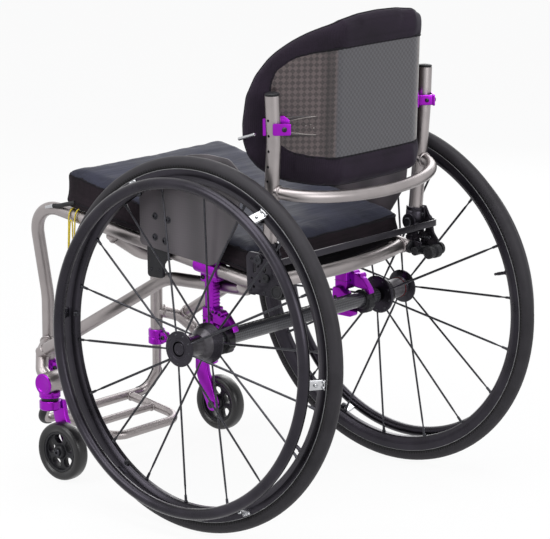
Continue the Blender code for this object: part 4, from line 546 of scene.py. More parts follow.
def carbon_shell():
    # Plain-weave carbon under clear resin: brown grey diamonds on the wings, 6.6 mm, that flip light and
    # dark. The flat middle lies in a finer cloth of 4.7 mm, its bluer, quieter tone a painted reflection, with a
    # painted shade band at each bend
    values = {"Coat Weight": 0.5, "Coat Roughness": 0.08, "Metallic": 0.3, "Specular IOR Level": 0.4}
    finish, tree, surface, place = new_finish("carbon_shell", values)
    apart = add(tree, "ShaderNodeSeparateXYZ", {"Vector": place.outputs["UV"]})
    round_ = add(tree, "ShaderNodeMath", {"operation": "ABSOLUTE", 0: apart.outputs["X"]})
    wing = {"Value": round_.outputs[0], "From Min": 0.098, "From Max": 0.104}
    wing = add(tree, "ShaderNodeMapRange", wing).outputs["Result"]
    drift = add(tree, "ShaderNodeTexNoise", {"Vector": place.outputs["Object"], "Scale": 22.0, "Detail": 3.0})
    tones, crowns = [], []
    # The middle's shades, bluer and quieter than the wings', are a painted reflection
    middle, wings = (0.0047, 0.0, "#38373B", "#4C4B50"), (0.0066, 45.0, "#2F2829", "#574C4C")
    for pitch, turn, dark, light in (middle, wings):
        laid, checks, crown = tows(tree, place, pitch, turn)
        crowns.append(crown)
        fibres = add(tree, "ShaderNodeTexNoise", {"Vector": laid, "Scale": 2.2, "Detail": 2.0})
        uneven = {"operation": "MULTIPLY_ADD", 0: fibres.outputs["Fac"], 1: 0.9, 2: checks}
        uneven = add(tree, "ShaderNodeMath", uneven)
        uneven = {"operation": "MULTIPLY_ADD", 0: drift.outputs["Fac"], 1: 0.5, 2: uneven.outputs[0]}
        uneven = add(tree, "ShaderNodeMath", uneven)
        level = {"Value": uneven.outputs[0], "From Min": 0.5, "From Max": 1.9}
        level = add(tree, "ShaderNodeMapRange", level)
        stops = [(0.0, dark), (1.0, light)]
        tones.append(add(tree, "ShaderNodeValToRGB", {"Fac": level.outputs["Result"], "stops": stops}))
    colour = {"data_type": "RGBA", 0: wing, 6: tones[0].outputs["Color"], 7: tones[1].outputs["Color"]}
    colour = add(tree, "ShaderNodeMix", colour)
    # Painted shade: the colour is multiplied down towards #A8A3A6 in a band across each bend
    bend = add(tree, "ShaderNodeMapRange", {"Value": round_.outputs[0], "From Min": 0.09, "From Max": 0.13})
    stops = [(0.3, "#FFFFFF"), (0.5, "#A8A3A6"), (0.68, "#A8A3A6"), (0.95, "#FFFFFF")]
    bend = add(tree, "ShaderNodeValToRGB", {"Fac": bend.outputs["Result"], "stops": stops})
    shade = {"data_type": "RGBA", "blend_type": "MULTIPLY", 6: colour.outputs[2], 7: bend.outputs["Color"]}
    colour = add(tree, "ShaderNodeMix", {**shade, 0: 1.0})
    rough = {"Value": drift.outputs["Fac"], "From Min": 0.3, "From Max": 0.7, "To Min": 0.32, "To Max": 0.46}
    rough = add(tree, "ShaderNodeMapRange", rough)
    crown = add(tree, "ShaderNodeMix", {"data_type": "FLOAT", 0: wing, 2: crowns[0], 3: crowns[1]})
    bump = add(tree, "ShaderNodeBump", {"Height": crown.outputs[0], "Strength": 0.5, "Distance": 0.00018})
    coat(tree, surface, colour.outputs[2], rough.outputs["Result"], bump.outputs["Normal"])
    return finish


def carbon_tube():
    # Roll-wrapped carbon tube, 3 mm tows: charcoal with a tight diagonal weave that goes over and under
    values = {"Coat Weight": 0.4, "Coat Roughness": 0.07, "Metallic": 0.25, "Specular IOR Level": 0.5}
    finish, tree, surface, place = new_finish("carbon_tube", values)
    laid, checks, crown = tows(tree, place, 0.003, 45.0)
    drift = add(tree, "ShaderNodeTexNoise", {"Vector": place.outputs["Object"], "Scale": 20.0, "Detail": 3.0})
    fibres = add(tree, "ShaderNodeTexNoise", {"Vector": laid, "Scale": 5.0, "Detail": 2.0})
    uneven = {"operation": "MULTIPLY_ADD", 0: drift.outputs["Fac"], 1: 0.45, 2: checks}
    tone = add(tree, "ShaderNodeMath", uneven)
    streaked = {"operation": "MULTIPLY_ADD", 0: fibres.outputs["Fac"], 1: 0.35, 2: tone.outputs[0]}
    tone = add(tree, "ShaderNodeMath", streaked)
    stops = [(0.12, "#222226"), (0.9, "#4A4A4F")]
    spread = {"Value": tone.outputs[0], "From Min": 0.3, "From Max": 1.5}
    level = add(tree, "ShaderNodeMapRange", spread)
    colour = add(tree, "ShaderNodeValToRGB", {"Fac": level.outputs["Result"], "stops": stops})
    band = {"Value": checks, "To Min": 0.3, "To Max": 0.42}
    sheen = add(tree, "ShaderNodeMapRange", band)
    bump = add(tree, "ShaderNodeBump", {"Height": crown, "Strength": 0.6, "Distance": 0.0001})
    coat(tree, surface, colour.outputs["Color"], sheen.outputs["Result"], bump.outputs["Normal"])
    return finish


def tyre_rubber():
    # Vulcanised rubber: charcoal and dry, smooth on the tread, with small teeth moulded above the bead
    finish, tree, surface, place = new_finish("tyre_rubber", {"Specular IOR Level": 0.25})
    shades = two("#211F23", "#2C2A2E")
    bump = clouded(tree, surface, place.outputs["Object"], 0.03, shades, (0.5, 0.66), grain=0.002)
    apart = add(tree, "ShaderNodeSeparateXYZ", {"Vector": place.outputs["UV"]})
    up_down = add(tree, "ShaderNodeMath", {"operation": "PINGPONG", 0: apart.outputs["X"], 1: 0.0029})
    away = add(tree, "ShaderNodeMath", {"operation": "ABSOLUTE", 0: apart.outputs["Y"]})
    tooth = {"operation": "MULTIPLY_ADD", 0: up_down.outputs[0], 1: -1.3, 2: 0.0242}
    tooth = add(tree, "ShaderNodeMath", tooth)
    gap = add(tree, "ShaderNodeMath", {"operation": "SUBTRACT", 0: away.outputs[0], 1: tooth.outputs[0]})
    sunk = {"Value": gap.outputs[0], "From Min": -0.0003, "From Max": 0.0003}
    sunk = add(tree, "ShaderNodeMapRange", sunk)
    flat = surface.inputs["Base Color"].links[0].from_socket
    colour = {"data_type": "RGBA", 0: sunk.outputs["Result"], 6: flat, 7: (*linear("#0C0B0D"), 1)}
    colour = add(tree, "ShaderNodeMix", colour)
    tree.links.new(colour.outputs[2], surface.inputs["Base Color"])
    deep = {"Height": sunk.outputs["Result"], "Strength": 0.5, "Distance": 0.0004, "invert": True}
    cut = add(tree, "ShaderNodeBump", {**deep, "Normal": bump.outputs["Normal"]})
    tree.links.new(cut.outputs["Normal"], surface.inputs["Normal"])
    return finish


def castor_rubber():
    # Cast polyurethane castor tyre: black, smooth and glossy, with a faint road haze
    values, shades = {"Specular IOR Level": 0.5}, two("#0C0B0D", "#141316")
    return drifting("castor_rubber", values, 0.015, shades, (0.26, 0.4), grain=0.002)


def guard_carbon():
    # Carbon side panel, matt clear coat: charcoal with broad darker bands down it, painted shade of the panel's
    # creases, and a faint weave
    values = {"Coat Weight": 0.15, "Coat Roughness": 0.35}
    finish, tree, surface, place = new_finish("guard_carbon", values)
    # Painted shade: the flat panel is darkened in broad bands down it, where its creases would shade it
    bands = {"Vector": place.outputs["Object"], "Scale": 4.6, "bands_direction": "Y", "Distortion": 1.5}
    band = add(tree, "ShaderNodeTexWave", {**bands, "Detail": 1.0})
    drift = add(tree, "ShaderNodeTexNoise", {"Vector": place.outputs["Object"], "Scale": 30.0, "Detail": 3.0})
    tone = {"operation": "MULTIPLY_ADD", 0: drift.outputs["Fac"], 1: 0.4, 2: band.outputs["Fac"]}
    tone = add(tree, "ShaderNodeMath", tone)
    spread = add(tree, "ShaderNodeMapRange", {"Value": tone.outputs[0], "From Min": 0.1, "From Max": 1.3})
    stops = [(0.0, "#3A363A"), (1.0, "#514B50")]
    colour = add(tree, "ShaderNodeValToRGB", {"Fac": spread.outputs["Result"], "stops": stops})
    laid = {"Vector": place.outputs["Object"], "Rotation": (math.radians(45), 0, 0), "Scale": [1 / 0.003] * 3}
    laid = add(tree, "ShaderNodeMapping", laid)
    checks = add(tree, "ShaderNodeTexChecker", {"Vector": laid.outputs["Vector"], "Scale": 1.0})
    rough = {"Value": checks.outputs["Fac"], "To Min": 0.42, "To Max": 0.54}
    rough = add(tree, "ShaderNodeMapRange", rough)
    bump = {"Height": checks.outputs["Fac"], "Strength": 0.25, "Distance": 0.00005}
    bump = add(tree, "ShaderNodeBump", bump)
    coat(tree, surface, colour.outputs["Color"], rough.outputs["Result"], bump.outputs["Normal"])
    return finish


def shades_of(colour):
    """The darkest and the lightest thread of a cloth."""
    return [c * 0.6 for c in colour], [c * 1.35 for c in colour]


def cloth(name, dark, light, thread, sheen, rough=(0.75, 0.9), crease=0.0):
    """Woven or knitted cloth: threads of one size, painted shade in the gaps between them, colour that drifts, and
    soft creases if asked for.
    """
    values = {"Sheen Weight": sheen, "Sheen Roughness": 0.45, "Sheen Tint": (0.75, 0.76, 0.85, 1)}
    finish, tree, surface, place = new_finish(name, {**values, "Specular IOR Level": 0.12})
    cells = {"Vector": place.outputs["Object"], "Scale": 1 / thread, "Randomness": 0.25}
    knit = add(tree, "ShaderNodeTexVoronoi", cells)
    drift = add(tree, "ShaderNodeTexNoise", {"Vector": place.outputs["Object"], "Scale": 18.0, "Detail": 5.0})
    # Painted shade: the colour darkens away from each thread's middle, into the gaps that the bump sinks
    tone = {"operation": "MULTIPLY_ADD", 0: knit.outputs["Distance"], 1: -0.5, 2: drift.outputs["Fac"]}
    tone = add(tree, "ShaderNodeMath", tone)
    spread = add(tree, "ShaderNodeMapRange", {"Value": tone.outputs[0], "From Min": 0.0, "From Max": 0.6})
    stops = [(0.1, dark), (0.9, light)]
    colour = add(tree, "ShaderNodeValToRGB", {"Fac": spread.outputs["Result"], "stops": stops})
    band = {"From Min": 0.3, "From Max": 0.7, "To Min": rough[0], "To Max": rough[1]}
    level = add(tree, "ShaderNodeMapRange", {"Value": drift.outputs["Fac"], **band})
    raised = {"Height": knit.outputs["Distance"], "Strength": 0.5, "Distance": 0.0003, "invert": True}
    bump = add(tree, "ShaderNodeBump", raised)
    if crease:
        along = {"Vector": place.outputs["Object"], "Scale": (10, 60, 30)}
        along = add(tree, "ShaderNodeMapping", along)
        folds = {"Vector": along.outputs["Vector"], "Scale": 1.0, "Detail": 3.0, "Distortion": 0.6}
        folds = add(tree, "ShaderNodeTexNoise", folds)
        soft = {"Height": folds.outputs["Fac"], "Strength": 0.7, "Distance": crease}
        bump = add(tree, "ShaderNodeBump", {**soft, "Normal": bump.outputs["Normal"]})
    coat(tree, surface, colour.outputs["Color"], level.outputs["Result"], bump.outputs["Normal"])
    return finish


def stretch_knit():
    # Spacer knit over foam: aubergine black, a velvety pale bloom where it turns away from the light
    return cloth("stretch_knit", *shades_of(colours().back_fabric), 0.0022, 0.08)


def cushion_nylon():
    # Coated nylon cover: navy grey, a soft sheen, and fine creases that run across the seat
    return cloth("cushion_nylon", *shades_of(colours().seat_fabric), 0.0018, 0.08, (0.5, 0.7), crease=0.0022)


def painted_shade_cushion_sides():
    # The same nylon on the cushion's sides, painted brown black: painted shade for the faces out of the light
    return cloth("painted_shade_cushion_sides", "#120D11", "#251C22", 0.0018, 0.05, (0.6, 0.8), crease=0.0022)


def sling_nylon():
    # Black upholstery nylon, 2 mm basket weave: dull, dark, a little dusty
    return cloth("sling_nylon", "#0F0C0F", "#1D181C", 0.002, 0.04, (0.7, 0.85))


def seam_thread():
    # Bonded polyester thread and bound edges: black with a faint twist of light
    return cloth("seam_thread", "#0E0D10", "#1E1C21", 0.0015, 0.05)


def yellow_braid():
    # Braided cotton cord: warm yellow, with painted shade in the gaps between its strands
    return cloth("yellow_braid", "#A8921F", "#DCC843", 0.0018, 0.3)


def plain_accent(name, dark, light, metallic, rough):
    """A small accent's finish: one drifting colour, metal or not, under its own name."""
    return drifting(name, {"Metallic": metallic}, 0.01, two(dark, light), rough)


FINISHES = {}


def finish_of(make, *values):
    """Each finish is made once, when a piece first asks for it."""
    key = make.__name__ + "".join(str(value) for value in values[:1])
    if key not in FINISHES:
        FINISHES[key] = make(*values)
    return FINISHES[key]


# ---------------------------------------------------------------- what a user may change


def colour_choice(name, description, hex_colour):
    return FloatVectorProperty(
        name=name, description=description, subtype="COLOR", min=0, max=1, default=linear(hex_colour)
    )


def length_choice(name, description, metres):
    return FloatProperty(name=name, description=description, default=metres, unit="LENGTH")


class ChairColours(PropertyGroup):
    titanium: colour_choice("Titanium", "Colour of the bead-blasted tubes", "#9C9696")
    anodised: colour_choice("Anodised", "Colour of the anodised clamps, forks and caps", "#9823B2")
    back_fabric: colour_choice("Back fabric", "Colour of the back pad's knit", "#231C26")
    seat_fabric: colour_choice("Seat fabric", "Colour of the cushion's nylon", "#2B2C38")
    floor: colour_choice("Floor", "Colour of the studio floor", "#E9E9E9")


class ChairSizes(PropertyGroup):
    frame_tube: length_choice("Frame tube", "Diameter of the bent frame tubes", 0.0222)
    back_tube: length_choice("Back post", "Diameter of the back posts", 0.0235)
    hanger_tube: length_choice("Hanger tube", "Diameter of the footrest's tube", 0.0165)
    push_ring: length_choice("Push ring", "Diameter of the push ring's tube", 0.019)
    spoke: length_choice("Spoke", "Width of a spoke's flat blade", 0.0041)
    seat_swell: length_choice("Seat swell", "How far the seat's cover may swell", 0.005)
    back_swell: length_choice("Back swell", "How far the back pad may swell", 0.004)


def sizes():
    """The sizes that a user may change."""
    return bpy.context.scene.chair_sizes


def colours():
    """The colours that a user may change."""
    return bpy.context.scene.chair_colours


# ---------------------------------------------------------------- the chair's lines


def rail_z(y):
    """The height of the seat rails' middle."""
    return RAIL_REAR[2] - (y - RAIL_REAR[1]) / RAIL_RUN * RAIL_RISE


def rail_x(y):
    """How far out the seat rails' middle stands."""
    return RAIL_REAR[0] + (y - RAIL_REAR[1]) / RAIL_RUN * 0.004


def guard_mount_x():
    """The inner face of the side guards' blocks, which stand 4 mm inside the rails."""
    return rail_x(GUARD_MOUNT_Y[0]) - RAIL_RADIUS - 0.004


def leg_y(z):
    """How far forward the front legs' middle stands."""
    return -0.4536 + (z - 0.172) / 0.128 * 0.0021


def rail_route():
    """The left seat rail and front leg, rear end first."""
    leg = [(LEG_X, -0.4515, 0.300), (LEG_X, -0.4536, 0.172)]
    return rounded([RAIL_REAR, RAIL_FRONT, *leg], [0.065, 0.100], step=math.radians(5))


def post_route():
    """The left back post, foot first."""
    corners = [POST_FOOT, (0.1895, 0.1200, 0.640), (0.1930, 0.1205, 0.7125)]
    return rounded(corners, [0.150], step=math.radians(2))


def post_at(z):
    """The middle of the left back post at height z."""
    route = post_route()
    below = max((p for p in route if p.z <= z), key=lambda p: p.z)
    above = min((p for p in route if p.z > z), key=lambda p: p.z)
    return below.lerp(above, (z - below.z) / (above.z - below.z))


def back_point(s, z, depth):
    """The place on the back shell s metres round from its middle, at height z, depth in front of its rear."""
    radius, wing = 0.045, math.radians(45)
    bend_start = 0.107 - radius * math.tan(wing / 2)
    arc = abs(s)
    turn = min(max((arc - bend_start) / radius, 0.0), wing)
    rest = max(arc - bend_start - radius * wing, 0.0)
    x = min(arc, bend_start) + radius * math.sin(turn) + rest * math.cos(turn) - depth * math.sin(turn)
    y = -radius * (1 - math.cos(turn)) - rest * math.sin(turn) - depth * math.cos(turn)
    return Vector((math.copysign(x, s), 0.176 + y + 0.04 * (z - BACK_Z), z))


def squircle(u, v, power):
    """Moves a point of a square into the same square with round corners."""
    length = (abs(u) ** power + abs(v) ** power) ** (1 / power)
    ease = max(abs(u), abs(v)) / length if length else 1.0
    return u * ease, v * ease


def round_loop(count, power, lower_power=None):
    """Points round a square with round corners, from -1 to 1 each way. lower_power is the lower half's."""
    loop = []
    for i in range(count):
        turn = math.tau * i / count
        u, v = math.cos(turn), math.sin(turn)
        reach = max(abs(u), abs(v))
        loop.append((v >= 0, *squircle(u / reach, v / reach, power if v >= 0 else lower_power or power)))
    return loop


def smooth_line(points, count):
    """Evenly spaced points on a smooth curve through the given ones."""
    knots = [Vector(point) for point in points]
    knots = [knots[0] * 2 - knots[1]] + knots + [knots[-1] * 2 - knots[-2]]
    fine = []
    for a, b, c, d in zip(knots, knots[1:], knots[2:], knots[3:]):
        for i in range(12):
            t = i / 12
            spot = 2 * b + (c - a) * t + (2 * a - 5 * b + 4 * c - d) * t * t
            fine.append((spot + (3 * b - a - 3 * c + d) * t * t * t) / 2)
    fine.append(knots[-2])
    lengths = [0.0]
    for first, second in zip(fine, fine[1:]):
        lengths.append(lengths[-1] + (second - first).length)
    route, at = [], 0
    for i in range(count):
        want = lengths[-1] * i / (count - 1)
        while at < len(fine) - 2 and lengths[at + 1] < want:
            at += 1
        part = (want - lengths[at]) / (lengths[at + 1] - lengths[at])
        route.append(fine[at].lerp(fine[at + 1], min(part, 1.0)))
    return route


def wheel_place(side):
    """The rear wheel's own place: Z along its axle and outboard, X down on the left and up on the right."""
    lean = Matrix.Rotation(side * (math.pi / 2 - CAMBER), 4, "Y")
    return Matrix.Translation((side * HALF_TRACK, 0, HUB_Z)) @ lean


def outboard(side, x, y, z):
    """A place across the chair, its Z pointing outboard."""
    return Matrix.Translation((side * x, y, z)) @ Matrix.Rotation(side * math.pi / 2, 4, "Y")


# ---------------------------------------------------------------- stage and cord


class MakeStage(Operator):
    """Sets the camera, the pale floor and the soft studio lamps"""

    bl_idname = "wheelchair.make_stage"
    bl_label = "Stage"

    def execute(self, context):
        heading, dip, roll = math.radians(131.15), math.radians(12.70), math.radians(-0.58)
        look = Vector((-math.sin(heading) * math.cos(dip), math.cos(heading) * math.cos(dip), -math.sin(dip)))
        level = look.cross(Vector((0, 0, 1))).normalized()
        upright = level.cross(look)
        right = level * math.cos(roll) + upright * math.sin(roll)
        up = upright * math.cos(roll) - level * math.sin(roll)
        deselect()
        bpy.ops.object.camera_add()
        camera = context.object
        camera.name = "studio_camera"
        turn = Matrix((right, up, -look)).transposed().to_4x4()
        camera.matrix_world = Matrix.Translation((3.222, 2.770 + AXLE_Y, 1.343)) @ turn
        sensor, focal_pixels, picture_pixels = 36, 2623, 550
        camera.data.sensor_width = sensor
        camera.data.lens = focal_pixels * sensor / picture_pixels
        camera.data.clip_end = 50
        context.scene.camera = camera

        lamps = (
            ("top_softbox", (0.3, 0.4, 2.9), (0, 0, 0.3), (2.4, 2.4), 62),
            ("key_softbox", (2.6, -0.6, 2.1), (0, 0.1, 0.4), (1.6, 1.8), 42),
            ("rear_softbox", (0.4, 3.2, 1.5), (0, 0, 0.4), (1.8, 1.6), 34),
            ("side_softbox", (-2.6, -1.2, 1.4), (0, 0, 0.4), (1.6, 1.6), 26),
        )
        for name, place, target, size, power in lamps:
            bpy.ops.object.light_add(type="AREA", location=place)
            lamp = context.object
            lamp.name = name
            lamp.data.shape = "RECTANGLE"
            lamp.data.size, lamp.data.size_y = size
            lamp.data.energy = power
            lamp.rotation_euler = (Vector(target) - Vector(place)).to_track_quat("-Z", "Y").to_euler()

        sky = context.scene.world or bpy.data.worlds.new("studio")
        context.scene.world = sky
        sky.use_nodes = True
        tree = sky.node_tree
        tree.nodes.clear()
        seen = self.seen(tree)
        soft = add(tree, "ShaderNodeBackground", {"Color": (0.92, 0.94, 1.0, 1), "Strength": 0.42})
        white = add(tree, "ShaderNodeBackground", {"Color": (1, 1, 1, 1), "Strength": 1.0})
        mix = add(tree, "ShaderNodeMixShader", {0: seen, 1: soft.outputs[0], 2: white.outputs[0]})
        add(tree, "ShaderNodeOutputWorld", {"Surface": mix.outputs[0]})

        bpy.ops.mesh.primitive_plane_add(size=16, location=(0, 0, -0.0005))
        floor = context.object
        floor.name = "studio_floor"
        paper, tree, surface, place = new_finish("studio_paper", {"Roughness": 0.9})
        tone = add(tree, "ShaderNodeTexNoise", {"Vector": place.outputs["Object"], "Scale": 3.0})
        grain = {"Fac": tone.outputs["Fac"], "stops": around(colours().floor, 0.02)}
        grain = add(tree, "ShaderNodeValToRGB", grain)
        tree.links.new(grain.outputs["Color"], surface.inputs["Base Color"])
        lit = add(tree, "ShaderNodeEmission", {"Color": (1, 1, 1, 1), "Strength": 1.0})
        share = add(tree, "ShaderNodeMath", {"operation": "MULTIPLY", 0: self.seen(tree), 1: 0.93})
        mix = {0: share.outputs[0], 1: surface.outputs[0], 2: lit.outputs[0]}
        mix = add(tree, "ShaderNodeMixShader", mix)
        tree.links.new(mix.outputs[0], tree.nodes["Material Output"].inputs["Surface"])
        floor.data.materials.append(paper)
        context.scene.view_settings.view_transform = "Standard"
        return {"FINISHED"}

    def seen(self, tree):
        """1 for what the camera sees, straight, in a reflection or through glass."""
        ray = add(tree, "ShaderNodeLightPath", {})
        seen = ray.outputs["Is Camera Ray"]
        for kind in ("Is Glossy Ray", "Is Transmission Ray"):
            either = {"operation": "MAXIMUM", 0: seen, 1: ray.outputs[kind]}
            seen = add(tree, "ShaderNodeMath", either).outputs[0]
        return seen


class MakeCordAndHose(Operator):
    """Makes the yellow pull cord and the cushion's filling hose"""

    bl_idname = "wheelchair.make_cord_and_hose"
    bl_label = "Pull cord and filling hose"

    def execute(self, context):
        y = -0.3283
        place = Vector((rail_x(y), y + AXLE_Y, rail_z(y)))
        loops = (
            (-0.0034, 0.0, 0.0128), (0.0023, 0.0, 0.0132), (0.0077, -0.0002, 0.0110), (0.0116, -0.0004, 0.0068),
            (0.0134, -0.0006, 0.0010), (0.0138, -0.0010, -0.0120), (0.0140, -0.0020, -0.0340),
            (0.0142, -0.0030, -0.0530), (0.0148, -0.0026, -0.0590), (0.0158, -0.0008, -0.0600),
            (0.0164, 0.0008, -0.0540), (0.0160, 0.0020, -0.0340), (0.0154, 0.0034, -0.0120),
            (0.0150, 0.0050, -0.0045), (0.0150, 0.0070, -0.0035), (0.0150, 0.0086, -0.0090),
            (0.0148, 0.0090, -0.0220), (0.0146, 0.0084, -0.0340), (0.0148, 0.0092, -0.0400),
            (0.0152, 0.0114, -0.0410), (0.0152, 0.0132, -0.0350), (0.0148, 0.0138, -0.0200),
            (0.0142, 0.0142, -0.0060), (0.0136, 0.0144, 0.0020), (0.0114, 0.0146, 0.0076),
            (0.0075, 0.0147, 0.0116), (0.0021, 0.0148, 0.0136), (-0.0036, 0.0148, 0.0132),
        )
        route = [place + point for point in smooth_line(loops, 40)]
        length = sum((b - a).length for a, b in zip(route, route[1:]))
        cord = pipe(route, 0.0013, sides=12)
        seat(cord, "yellow_pull_cord", "frame", finish_of(yellow_braid), ["pull_cord"],
             smooth=60, from_axle=False)

        run = ((0.0056, -0.3215, 0.0244), (0.0095, -0.3380, 0.0177), (0.0110, -0.3540, 0.0112),
               (0.0133, -0.3660, 0.0081))
        route = [Vector((rail_x(y) + x, y, rail_z(y) + z)) for x, y, z in run]
        tip = Vector((0.2008, -0.3830, 0.4748))
        hose = pipe(smooth_line(route, 16), 0.0038, sides=16)
        along = (route[-1] - route[-2]).normalized()
        end = route[-1]
        bands = [pipe([end + along * a, end + along * (a + 0.0018)], 0.004) for a in (-0.006, -0.002)]
        seat(joined(hose, *bands), "filling_hose", "frame", finish_of(black_moulded_nylon),
             ["cushion_valve"])
        length = (tip - route[-1]).length
        profile = [(0, 0), (0.0034, 0), (0.0034, 0.005), (0.0027, 0.0058), (0.0027, length - 0.004),
                   (0.0022, length - 0.0035), (0.0026, length), (0.0012, length), (0.0010, length - 0.002),
                   (0, length - 0.002)]
        ferrule = put(turned(profile, steps=20), aim(route[-1], tip))
        seat(ferrule, "filling_hose_tip", "frame", finish_of(satin_steel))
        return {"FINISHED"}


# ---------------------------------------------------------------- frame


class MakeSeatTubes(Operator):
    """Bends the seat rails with their front legs, and the plugs in their rear ends"""

    bl_idname = "wheelchair.make_seat_tubes"
    bl_label = "Seat rails and legs"

    def execute(self, context):
        radius = sizes().frame_tube / 2
        route = rail_route()
        rail = pipe(route, radius, sides=TUBE_SIDES)
        rear = Vector(route[0])
        along = (rear - Vector(route[1])).normalized()
        seat_pair(rail, "seat_rail_tube_side", "frame", finish_of(bead_blasted_titanium),
                  ["seat_rail_side"])
        plug = turned([(0, 0.0045), (radius * 0.7, 0.0045), (radius, 0.003), (radius, 0.0002), (0, 0.0002)],
                      steps=32, ease=0.0008)
        plug = put(plug, aim(rear, rear + along))
        plug.location.z = 0
        seat_pair(plug, "rail_plug_side", "frame", finish_of(black_moulded_nylon))
        return {"FINISHED"}


class MakeLowerFrame(Operator):
    """Makes the lower tubes with the castor wings and barrels, welded into one"""

    bl_idname = "wheelchair.make_lower_frame"
    bl_label = "Lower tubes and barrels"

    def execute(self, context):
        radius = sizes().frame_tube / 2
        corners = [(0.1815, -0.4275, 0.209), (0.153, -0.150, 0.3775), (0.144, 0.022, 0.3805),
                   (0.185, 0.050, 0.398)]
        lower = pipe(rounded(corners, [0.080, 0.030], step=math.radians(5)), radius, sides=TUBE_SIDES)
        corners = [(LEG_X, -0.4525, 0.222), (0.174, -0.431, 0.2085), (0.194, -0.412, 0.183),
                   (0.1973, STEM_Y, BARREL_Z)]
        wing = pipe(rounded(corners, [0.030, 0.020], step=math.radians(6)), 0.011, sides=TUBE_SIDES)
        profile = [(0, 0), (0.0165, 0), (0.019, 0.0016), (0.019, 0.0052), (0.0183, 0.0062), (0.0183, 0.0072),
                   (0.019, 0.0082), (0.019, 0.0475), (0.0182, 0.0491), (0, 0.0491)]
        barrel = put(turned(profile, steps=56), outboard(1, 0.1656, STEM_Y, BARREL_Z))
        leg_foot, wing_start = Vector(corners[0]), Vector(corners[1])
        across = (wing_start - leg_foot).normalized()
        beads = [
            weld(leg_foot + across * 0.0122, wing_start),
            weld((0.1795, -0.4150, 0.2166), (0.153, -0.150, 0.3775), bead=0.0018),
            weld((0.1955, -0.4015, 0.1745), (0.1973, STEM_Y, 0.160), bead=0.0018),
            weld((0.1775, 0.0448, 0.3948), (0.144, 0.022, 0.3805)),
        ]
        seat_pair(joined(lower, wing, barrel, *beads), "lower_tube_side", "frame",
                  finish_of(bead_blasted_titanium), ["lower_frame_side"])
        return {"FINISHED"}


class MakeCrossTubes(Operator):
    """Makes the dipped front cross tube and the bowed rear one"""

    bl_idname = "wheelchair.make_cross_tubes"
    bl_label = "Cross tubes"

    def execute(self, context):
        radius = sizes().frame_tube / 2
        y = -0.245
        x, low, end = rail_x(y), rail_z(y) - 0.060, rail_z(y) - 0.0094
        corners = [(x - 0.003, y, end), (0.105, y, low), (-0.105, y, low), (-x + 0.003, y, end)]
        front = pipe(rounded(corners, [0.095, 0.095], step=math.radians(5)), radius, sides=TUBE_SIDES)
        slope = (Vector(corners[1]) - Vector(corners[0])).normalized()
        beads = []
        for side in (1, -1):
            start = Vector(corners[0]) + slope * 0.0095
            ahead = start + slope
            beads.append(weld((side * start.x, start.y, start.z), (side * ahead.x, ahead.y, ahead.z)))
        seat(joined(front, *beads), "front_cross_bar", "frame", finish_of(bead_blasted_titanium),
             ["front_cross_tube"])
        route, z = [], rail_z(0.078)
        for i in range(41):
            share = math.cos(math.pi * i / 40)
            bow = 1 - abs(share) ** 2.2
            route.append((0.1815 * share, 0.078 + 0.028 * bow, z - 0.001 * bow))
        rear = pipe(route, radius, sides=TUBE_SIDES)
        beads = [weld((side * 0.1775, 0.0800, z), (0, 0.087, z)) for side in (1, -1)]
        seat(joined(rear, *beads), "rear_cross_bar", "frame", finish_of(bead_blasted_titanium),
             ["rear_cross_tube"])
        return {"FINISHED"}


# ---------------------------------------------------------------- castors


